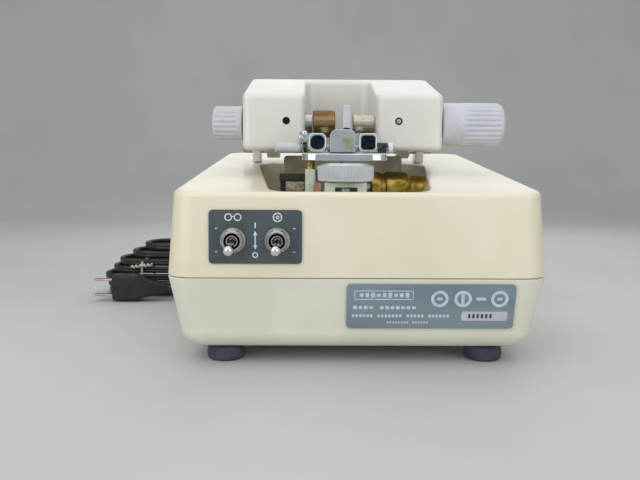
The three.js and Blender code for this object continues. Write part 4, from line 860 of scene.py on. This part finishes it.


# Centre block with a domed top, its finger, a small dark box of painted shade where a slot sits at the finger's
# root, and a small screw with a flat head.
def centreBlock():
    low, high = restBox
    x, half = restBox.mean(0)[0], restLook["blockWidth"] / 2
    top = low[2] + restLook["blockHeight"]
    outline = softened([(x - half, low[2], 0.3), (x + half, low[2], 0.3),
                        (x + half, top, restLook["topCorner"]),
                        (x - half, top, restLook["topCorner"])], 9)
    block = slab("y", outline, low[1], high[1], 0.7)
    addPiece("centre_block", [block], "guide_table", finish["blockMetal"], ["edge_rest"])
    fingerHalf, at = restLook["fingerWidth"] / 2, restLook["finger"]
    outline = softened([(at - fingerHalf, top - 2, 0.3), (at + fingerHalf, top - 2, 0.3),
                        (at + fingerHalf - 0.3, high[2], 1), (at - fingerHalf + 0.3, high[2], 1)])
    finger = slab("y", outline, high[1] - 7, high[1] - 1, 0.5)
    addPiece("rest_finger", [finger], "guide_table", finish["dialMetal"])
    # A small dark box at the finger's root: painted shade standing in for a slot, which is not cut.
    slotShade = softBox("y", (at - 2, high[1] - 7.2, top - 0.2), (at + 2, high[1] - 6, top + 1.2), 0.4, 0.1)
    addPiece("finger_slot_shade", [slotShade], "guide_table", finish["darkMirrorAndSlotShade"])
    face = low[1]
    bar = softBox("y", (at - 2.6, face - 0.9, low[2] + 6.6), (at + 2.6, face + 1, low[2] + 9), 0.5, 0.2)
    stem = softBox("y", (at - 1.5, face - 0.7, low[2] + 1), (at + 1.5, face + 1, low[2] + 6.8), 0.4, 0.2)
    addPiece("rest_clip", [bar, stem], "guide_table", finish["nickel"])


# A coil spring: a round wire carried along a helix about the rod, pulled in at both ends.
def coil(low, high, turns, radius):
    angle = np.linspace(0, 2 * math.pi * turns, int(turns * 36))
    share = np.clip(angle / (2 * math.pi * turns), 0, 1)
    wire = springLook["wire"]
    along = low + wire + (high - low - 2 * wire) * share
    reach = radius - wire
    path = np.stack([along, rodCentre[1] + reach * np.cos(angle), rodCentre[2] + reach * np.sin(angle)], -1)
    return carried(path, np.tile((1.0, 0, 0), (len(path), 1)), circle(wire, 10))


# Each spring is a coil sized by its CAD box, between the stop on the table and its sliding block.
def springs():
    for side in ("left", "right"):
        low, high = nodeBox(f"{side}_guide_spring")
        skins = [coil(low[0], high[0], springLook[side], (high[1] - low[1]) / 2)]
        piece = addPiece(f"{side}_spring_coil", skins, None, finish["springSteel"],
                         [f"{side}_guide_spring"], 60)
        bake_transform(piece)


# Profiles turned about the rod: the rod itself, its stop, its collar and the small knob.
def rodAndKnob():
    low, high = nodeBox("guide_rod")
    rightSpring, leftSpring = nodeBox("right_guide_spring"), nodeBox("left_guide_spring")
    ringStart, ringEnd = rightSpring[1][0] + 0.3, high[0] - 1
    leftEnd = leftSpring[0][0] - 0.3
    centre = rodCentre * (0, 1, 1)
    bar = turned("x", [(low[0], 0.1), (low[0], 1.3), (low[0] + 0.3, 1.6), (high[0] - 0.3, 1.6),
                       (high[0], 1.3),
                       (high[0], 0.1)], centre, 32)
    stop = turned("x", [(leftEnd - 1, 1.5), (leftEnd - 1, 3), (leftEnd - 0.8, 3.2), (leftEnd, 3.2),
                        (leftEnd, 1.5)],
                  centre, 40)
    addPiece("cross_rod", [bar, stop], "guide_table", finish["steel"], ["guide_rod"])
    collar = turned("x", [(ringStart, 1.5), (ringStart, 3), (ringStart + 0.3, 3.2), (ringEnd - 0.3, 3.2),
                          (ringEnd, 2.9), (ringEnd, 1.7)], centre, 48)
    addPiece("rod_collar", [collar], "guide_table", finish["printWhite"])
    low, high = nodeBox("guide_knob")[:, 0]
    along = np.linspace(low + 0.8, high - 1.4, 12)
    profile = [(low, 0.1), (low, 2.4), *[(a, 3.2) for a in along], (high - 1.2, 2.9), (high, 2.9),
               (high, 1.7)]
    knurl = turned("x", profile, centre, 240, lambda angle, x: -0.12 * (1 - np.cos(angle * 30 + x * 2.4)))
    addPiece("thumb_knob_barrel", [knurl], "thumb_knob", finish["dialMetal"], ["guide_knob"])


# Square block with a dark polished nose in a bright bezel, and the arm that runs back to the wheel.
def guideArms():
    for side in ("left", "right"):
        low, high = nodeBox(f"{side}_guide_arm")
        sign = -1 if side == "left" else 1
        size, corner = guideLook["size"], guideLook["corner"][side]
        outer = low[0] if side == "left" else high[0]
        x0, x1 = sorted((outer, outer - sign * size))
        z0 = high[2] - size
        block = slab("y", rectangle(x0, x1, z0, z0 + size, corner, 8), low[1] + 1, low[1] + 15.2, 0.6)
        bezel = guideLook["faceInset"]
        armX = sign * 11.5 - 6.2
        half = guideLook["armWidth"] / 2
        arm = softBox("z", (armX - half, low[1] + 13, z0), (armX + half, high[1], z0 + 4), 1, 0.5)
        tipX = sorted((sign * 1.9 - 6.2, sign * 10 - 6.2))
        tip = turned("x", [(tipX[0], 0.1), (tipX[0], 1.3), (tipX[0] + 0.4, 1.8), (tipX[1] - 0.4, 1.8),
                           (tipX[1], 1.3),
                           (tipX[1], 0.1)], (0, high[1] - 2.3, z0 + 2), 28)
        addPiece(f"{side}_guide_block", [block, arm, tip], f"{side}_guide", finish["chrome"],
                 [f"{side}_guide_arm"])
        round_ = size / 2 - bezel - 0.1 if side == "left" else 2.4
        face = slab("y", rectangle(x0 + bezel, x1 - bezel, z0 + bezel, z0 + size - bezel, round_, 10),
                    low[1] + 0.6,
                    low[1] + 2, 0.25)
        addPiece(f"{side}_guide_face", [face], f"{side}_guide", finish["darkMirrorAndSlotShade"])


# Two small cap screws on a clip beside the left block, which slides with it.
def clipScrews():
    x, y, z = -31.4, 36, 128.6
    clip = softBox("y", (x - 2.6, y - 1, z), (x + 2.6, y + 3, z + 6), 1.2, 0.4)
    addPiece("left_clip", [clip], "left_guide", finish["chrome"])
    heads = [turned("y", [(y + 0.5, 1.7), (y - 1.6, 1.7), (y - 2.2, 1.3), (y - 2.4, 0.8), (y - 2, 0.7),
                          (y - 2, 0.1)],
                    place, 28) for place in ((x + 0.9, 0, z + 4.4), (x - 1.2, 0, z + 1.8))]
    addPiece("clip_screws", heads, "left_guide", finish["chrome"])


bracketLook = {"left": -18.7, "right": 6.3, "front": 26, "rear": 50, "foot": 62.5, "ledge": 89.5}


# Pale bracket under the dial with a threaded stem behind its window, the window being a flat black sheet of
# painted shade, a copper strip and the side ear.
def guideBracket():
    low, high = nodeBox("guide_bracket")
    look = bracketLook
    column = softBox("z", (look["left"], look["front"], look["ledge"]),
                     (look["right"], look["rear"], 104.4), 1.5, 0.5)
    leg = softBox("z", (low[0], 34, look["foot"]), (look["right"], look["rear"], look["ledge"] + 4), 1.5, 0.5)
    ear = softBox("z", (low[0], 30, look["ledge"]), (low[0] + 6, 46, high[2]), 1.2, 0.5)
    addPiece("bracket_casting", [column, leg, ear], "base", finish["bracketPaint"],
             ["guide_bracket"])
    # A flat black sheet on the bracket face: painted shade for the opening behind the threaded stem.
    window = softBox("y", (-12.5, look["front"] - 0.12, 92), (0.6, look["front"] + 1, 101.6), 0.8, 0.05)
    addPiece("bracket_window_shade", [window], "base", finish["blackPlastic"])
    along = np.linspace(92.6, 101.2, 70)
    radius = 3.5 + 0.28 * np.cos(along * 2 * math.pi / 1.25)
    profile = [(along[0], 0.1), *zip(along, radius), (along[-1], 0.1)]
    addPiece("stem_thread", [turned("z", profile, (-6.2, look["front"] + 1.6, 0), 40)], "base",
             finish["steel"])
    strip = softBox("z", (-24.4, look["front"], look["ledge"] - 1), (-20.9, look["front"] + 3, 104), 0.5, 0.2)
    addPiece("copper_strip", [strip], "base", finish["copper"])


# Boxes with softened edges for the clamp and the sponge, and a thin rounded sheet for the baffle.
def spongeAndBaffle():
    low, high = nodeBox("sponge_holder")
    bar = softBox("x", (low[0], 46, 104.6), (high[0], 54, high[2]), 0.8, 0.4)
    post = softBox("z", (low[0] + 0.5, 48, low[2]), (low[0] + 3.5, 52, 105.5), 0.5, 0.2)
    shelf = softBox("z", (low[0] + 0.5, 44, 95.6), (high[0] - 0.5, 60, 97.6), 0.8, 0.3)
    addPiece("sponge_clamp", [bar, post, shelf], "base", finish["blackPlastic"],
             ["sponge_holder"])
    low, high = nodeBox("sponge")
    pad = softBox("z", low, high, 2, 1.2)
    piece = addPiece("sponge_pad", [pad], "base", finish["sponge"], ["sponge"])
    low, high = nodeBox("splash_baffle")
    addPiece("baffle_sheet", [slab("y", rectangle(low[0], high[0], low[2], high[2], 3), low[1], high[1],
                                   0.4)],
             "base", finish["greyTray"], ["splash_baffle"])


dial()
crossPlate()
centreBlock()
springs()
rodAndKnob()
guideArms()
clipScrews()
guideBracket()
spongeAndBaffle()
print("guide unit")

# Wheel and its drive.
wheelCentre = middle("grooving_wheel")
housingLook = {"groove": (7.2, 9.8), "shoulder": 22, "taperEnd": 27, "taper": 2.5}


# Profiles turned about the spindle, the lens shaft and the pivot rod, and two cheeks cut as slabs.
def wheelDrive():
    low, high = nodeBox("spindle_housing")
    radius = (high[1] - low[1]) / 2
    start = low[0]
    grooveStart, grooveEnd = (start + share for share in housingLook["groove"])
    shoulder, taperEnd = start + housingLook["shoulder"], start + housingLook["taperEnd"]
    share = np.linspace(0, 1, 9)
    profile = [(start, 4.3), (start, radius - 1.4), (start + 0.5, radius - 0.6), (start + 1.4, radius - 0.2),
               (grooveStart - 0.5, radius - 0.2), (grooveStart, radius - 1.1), (grooveEnd, radius - 1.1),
               (grooveEnd + 0.5, radius - 0.1), (grooveEnd + 1.2, radius), (shoulder, radius),
               *zip(shoulder + (taperEnd - shoulder) * share, radius - housingLook["taper"] * share ** 1.6),
               (high[0], radius - housingLook["taper"]), (high[0], 4.3)]
    addPiece("housing_sleeve", [turned("x", profile, wheelCentre * (0, 1, 1), 96)], "base",
             finish["agedBrass"], ["spindle_housing"])
    low, high = nodeBox("grooving_wheel")[:, 0]
    radius = (nodeBox("grooving_wheel")[1][1] - nodeBox("grooving_wheel")[0][1]) / 2
    disc = [(low + 0.1, 4.3), (low + 0.1, radius - 6), (low, radius - 5.6), (low, radius - 0.4),
            (low + 0.3, radius), (high - 0.3, radius), (high, radius - 0.4), (high, radius - 5.6),
            (high - 0.1, radius - 6), (high - 0.1, 4.3)]
    addPiece("wheel_disc", [turned("x", disc, wheelCentre * (0, 1, 1), 160)], "spindle",
             finish["abrasive"], ["grooving_wheel"])
    low, high = nodeBox("wheel_nut")[:, 0]
    nut = [(low, 4.4), (low, 8.2), (low + 0.5, 8.9), (high - 0.3, 9), (high, 8.8), (high, 4.4)]
    addPiece("wheel_flange_nut", [turned("x", nut, wheelCentre * (0, 1, 1), 72)], "spindle",
             finish["steel"], ["wheel_nut"])
    low, high = nodeBox("left_lens_shaft")[:, 0]
    collar = nodeBox("left_chuck")[0][0] - 0.3
    shaft = [(low, 0.1), (low, 3.8), (low + 0.3, 4), (-35.2, 4), (-35, 5.8), (-34.8, 6), (collar - 0.3, 6),
             (collar, 5.7), (collar, 0.1)]
    addPiece("lens_shaft_turning", [turned("x", shaft, lensAxis * (0, 1, 1), 64)], "left_spindle",
             finish["steel"], ["left_lens_shaft"])
    low, high = nodeBox("pivot_shaft")
    centre = middle("pivot_shaft") * (0, 1, 1)
    rod = [(low[0], 0.1), (low[0], 3.9), (low[0] + 0.6, 4.5), (high[0] - 0.6, 4.5), (high[0], 3.9),
           (high[0], 0.1)]
    addPiece("pivot_rod", [turned("x", rod, centre, 64)], "pivot", finish["steel"], ["pivot_shaft"])
    for side in ("left", "right"):
        low, high = nodeBox(f"{side}_hinge_bracket")
        outline = softened([(low[1], low[2] + 0.5, 0.4), (high[1], low[2] + 2, 0.4), (high[1], high[2], 6),
                            (low[1], high[2], 6)], 9)
        addPiece(f"{side}_pivot_cheek", [slab("x", outline, low[0], high[0], 0.7)], "base",
                 finish["headPaint"], [f"{side}_hinge_bracket"])


wheelDrive()
print("wheel drive")

# Front plates, their printing, and the toggle switches.
panelLook = {"sheet": 0.9, "corner": 2.6, "printHeight": 0.06}
switchX = {side: middle(f"{side}_switch_lever")[0] for side in ("lens", "wheel")}
switchLook = {"height": 73.4, "lean": 8}


# Points turned about a line along X through the given depth and height.
def leaned(skinPart, angle, y, z):
    points, faces = skinPart
    sine, cosine = math.sin(angle), math.cos(angle)
    moved = points - (0, y, z)
    turnedPoints = np.stack([moved[:, 0], moved[:, 1] * cosine - moved[:, 2] * sine,
                             moved[:, 1] * sine + moved[:, 2] * cosine], -1)
    return turnedPoints + (0, y, z), faces


# The lean of a plate about X, from the depth and height of its CAD box.
def plateLean(node, direction):
    low, high = nodeBox(node)
    depth, height = high[1] - low[1] - panelLook["sheet"], high[2] - low[2]
    return direction * math.atan(depth / height)


# A thin rounded sheet through the middle of its CAD box, leaned about X by the angle of the face.
def plateOn(node, name, direction, material):
    low, high = nodeBox(node)
    lean = plateLean(node, direction)
    centre = (low + high) / 2
    half = (high[2] - low[2]) / 2 / math.cos(lean) - 0.05
    outline = rectangle(low[0], high[0], centre[2] - half, centre[2] + half, panelLook["corner"], 8)
    sheet = slab("y", outline, centre[1] - panelLook["sheet"] / 2, centre[1] + panelLook["sheet"] / 2, 0.12,
                 4)
    addPiece(name, [leaned(sheet, lean, centre[1], centre[2])], "base", material, [node])
    return centre, lean, half


# Flat marks printed on a plate: rounded bars and rings, given in the plate's own width and height from
# its centre.
def printed(name, plate, marks, material):
    centre, lean, _ = plate
    front = centre[1] - panelLook["sheet"] / 2
    skins = []
    for kind, u, v, width, height in marks:
        y0, y1 = front - panelLook["printHeight"], front + 0.05
        x, z = centre[0] + u, centre[2] + v
        if kind == "bar":
            mark = slab("y", rectangle(x - width / 2, x + width / 2, z - height / 2, z + height / 2,
                                       min(width, height) * 0.2, 3), y0, y1, 0.01, 2)
        elif kind == "tip":
            corners = [(x - width / 2, z, 0), (x, z - height, 0), (x + width / 2, z, 0)]
            if height < 0:
                corners = corners[::-1]
            mark = slab("y", softened(corners), y0, y1, 0.01, 2)
        else:
            profile = [(y0, width), (y0, width - height), (y1, width - height), (y1, width), (y0, width)]
            along, radius = np.array(profile[:-1]).T[:, :, None]
            angle = np.linspace(0, 2 * math.pi, 40, endpoint=False)[None, :]
            mark = skin(around("y", along, radius, angle, (x, 0, z)), ring=True)
        skins.append(leaned(mark, lean, centre[1], centre[2]))
    return addPiece(name, skins, "base", material)


# Lens mark, wheel mark, and the on and off marks with arrows between them.
def switchPanel():
    plate = plateOn("switch_panel", "panel_sheet", -1, finish["slatePlate"])
    centreX, centreZ = plate[0][0], plate[0][2]
    left, right = switchX["lens"] - centreX, switchX["wheel"] - centreX
    middleX = (left + right) / 2
    level = switchLook["height"] - centreZ
    marks = [("ring", left - 2.6, 10.8, 2.1, 0.55), ("ring", left + 2.6, 10.8, 2.1, 0.55),
             ("bar", left, 11.2, 1.4, 0.5), ("ring", right, 10.8, 2.6, 0.5), ("ring", right, 10.8, 0.9, 0.45),
             ("bar", middleX, level + 8.2, 0.7, 3), ("ring", middleX, level - 8.2, 1.6, 0.6),
             ("bar", middleX, level, 0.6, 5.6), ("tip", middleX, level + 2.8, 2.2, -2.4),
             ("tip", middleX, level - 2.8, 2.2, 2.4)]
    spokes = [("bar", right + 1.75 * math.cos(turn), 10.8 + 1.75 * math.sin(turn), 0.5, 0.5)
              for turn in np.arange(6) * math.pi / 3]
    for side in (left, right):  # short level marks beside each switch
        marks += [("bar", side - 9.2 * (1 if side == left else -1), level + offset, 1.4, 0.4)
                  for offset in (-6.5, 6.5)]
    printed("panel_print", plate, marks + spokes, finish["printWhite"])


# Abstract bars and rings in the places where such a plate has its words.
def namePlate():
    plate = plateOn("name_plate", "name_sheet", 1, finish["namePlate"])
    frameMarks = [("bar", -26.5, 9.4, 33, 0.5), ("bar", -26.5, 4.4, 33, 0.5), ("bar", -42.8, 6.9, 0.5, 5.2),
                  ("bar", -10.2, 6.9, 0.5, 5.2)]
    frameMarks += [("bar", -39 + 3.2 * k, 6.9, 2.1, 2 + 0.5 * (k % 3)) for k in range(9)]
    words = [("bar", -42.5 + 3 * k, -0.6, 2.1, 2.1 - 0.4 * (k % 2)) for k in range(12) if k != 4]
    small = [("bar", -43.5 + 2.05 * k, -5.6, 1.4, 1.7) for k in range(27) if k not in (6, 14, 20)]
    smaller = [("bar", -24 + 1.6 * k, -9.6, 1, 1.1) for k in range(15) if k != 8]
    large = [("ring", 4.8, 4.8, 4.9, 1.7), ("ring", 17.8, 4.8, 4.9, 1.7), ("bar", 28, 4.8, 5.2, 1.8),
             ("ring", 38.4, 4.8, 4.9, 1.7), ("bar", 4.8, 4.8, 3, 1.7), ("bar", 17.8, 4.8, 1.8, 6),
             ("bar", 38.4, 4.8, 3, 1.7)]
    printed("name_print", plate, frameMarks + words + small + smaller + large,
            finish["printBlue"])
    printed("name_label", plate, [("bar", 30.5, -5.6, 26, 5.6)], finish["leftKnobPlastic"])
    digits = [("bar", 22 + 2.4 * k, -5.6, 1.3, 2.6) for k in range(6)]
    centre, lean, half = plate
    printed("name_label_marks", (centre - (0, 0.05, 0), lean, half), digits,
            finish["printDark"])


# Six shallow notches round a nut: a clipped cosine of six times the angle.
def notch(angle, along):
    return -0.35 * np.clip(np.cos(angle * 6) * 6 - 4.6, 0, 1) + 0 * along


# Round nut with a slotted rim, a threaded bush in it, and a lever that swells to a rounded end.
def toggles():
    for side in ("lens", "wheel"):
        x, z = switchX[side], switchLook["height"]
        low, high = nodeBox(f"{side}_switch_nut")
        back, front = high[1], low[1]
        washer = [(back, 5.8), (back, 6.9), (back - 0.5, 7), (back - 0.7, 6.8), (back - 0.7, 5.8)]
        nut = [(back - 0.6, 5.4), (back - 0.6, 6.3), (front + 0.7, 6.35), (front, 5.8), (front, 5.4)]
        addPiece(f"{side}_nut_ring", [turned("y", washer, (x, 0, z), 96),
                                      turned("y", nut, (x, 0, z), 192, notch)],
                 "base", finish["nickel"], [f"{side}_switch_nut"])
        bushFront = nodeBox(f"{side}_switch")[0][1]
        along = np.linspace(front - 0.2, bushFront + 0.5, 22)
        radius = 4.95 + 0.18 * np.cos(along * 2 * math.pi / 0.75)
        bush = [(front + 1, 5), *zip(along, radius), (bushFront, 4.5), (bushFront, 2.7),
                (bushFront + 0.6, 2.45),
                (bushFront + 3, 2.4)]
        bush = turned("y", bush, (x, 0, z), 72)
        addPiece(f"{side}_bush_thread", [bush], "base", finish["nickel"])
        socket = turned("y", [(bushFront + 2.6, 0.1), (bushFront + 2.4, 2.4), (bushFront + 3, 2.4),
                              (bushFront + 3.2, 0.1)], (x, 0, z), 40)
        addPiece(f"{side}_bush_socket", [socket], "base", finish["blackPlastic"])
        tip = 24
        share = np.linspace(0, math.pi / 2, 9)
        arm = [(2, 0.1), (1.4, 1.8), (0, 2.3), (-2, 1.75), (-8, 1.75), (-14, 1.85), (-18, 2.15),
               (-20.6, 2.45),
               (-22, 2.55), *zip(-22 - 2 * np.sin(share), 2.55 * np.cos(share) + 0.02)]
        lever = turned("y", arm[:-1] + [(-tip, 0.02)], (x, 0, z), 64)
        addPiece(f"{side}_lever_bat", [leaned(lever, math.radians(switchLook["lean"]), 0, z)],
                 f"{side}_lever",
                 finish["chrome"], [f"{side}_switch_lever"])


switchPanel()
namePlate()
toggles()
print("front plates and switches")

# CAD pieces that keep their shape, with better finishes.
keptFinish = {
    "blackPlastic": ["wheel_motor"],
    "greyTray": ["water_tray"],
    "steel": ["chassis_plate", "motor_pulley", "lens_motor", "lens_switch", "wheel_switch", "clamp_quill",
              "wheel_spindle"],
    "agedBrass": ["lens_gear", "lens_pinion"],
    "beltRubber": ["drive_belt"],
    "headPaint": ["gearbox_cover"],
}


# Every material slot of a kept CAD piece gets its procedural finish.
def dressKeptPieces():
    for finishName, nodes in keptFinish.items():
        for node in nodes:
            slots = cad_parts[node].material_slots
            for place in slots:
                place.material = finish[finishName]


dressKeptPieces()
print("kept pieces")

# Floor.
# One sheet: level under the object, then a quarter circle up to a wall far behind it.
def benchTop():
    turn = np.linspace(0, math.pi / 2, 24)
    far, radius = 900, 600
    y = np.concatenate([[-2500, -600, 0, 600], far + radius * np.sin(turn), [far + radius]])
    z = np.concatenate([[0, 0, 0, 0], radius * (1 - np.cos(turn)), [2600]]) - 0.05
    x = np.linspace(-3500, 3500, 30)
    low = np.stack(np.broadcast_arrays(x[None, :], y[:, None], z[:, None]), -1)
    rows, columns = low.shape[:2]
    corner = (np.arange(rows - 1)[:, None] * columns + np.arange(columns - 1)[None, :]).ravel()
    faces = np.stack([corner, corner + 1, corner + columns + 1, corner + columns], -1)
    mesh = bpy.data.meshes.new("bench_top")
    mesh.from_pydata(toFrame(low.reshape(-1, 3)).tolist(), [], faces.tolist())
    mesh.shade_smooth()
    mesh.materials.append(finish["benchTop"])
    top = bpy.data.objects.new("bench_top", mesh)
    bpy.context.scene.collection.objects.link(top)


benchTop()
print("done")
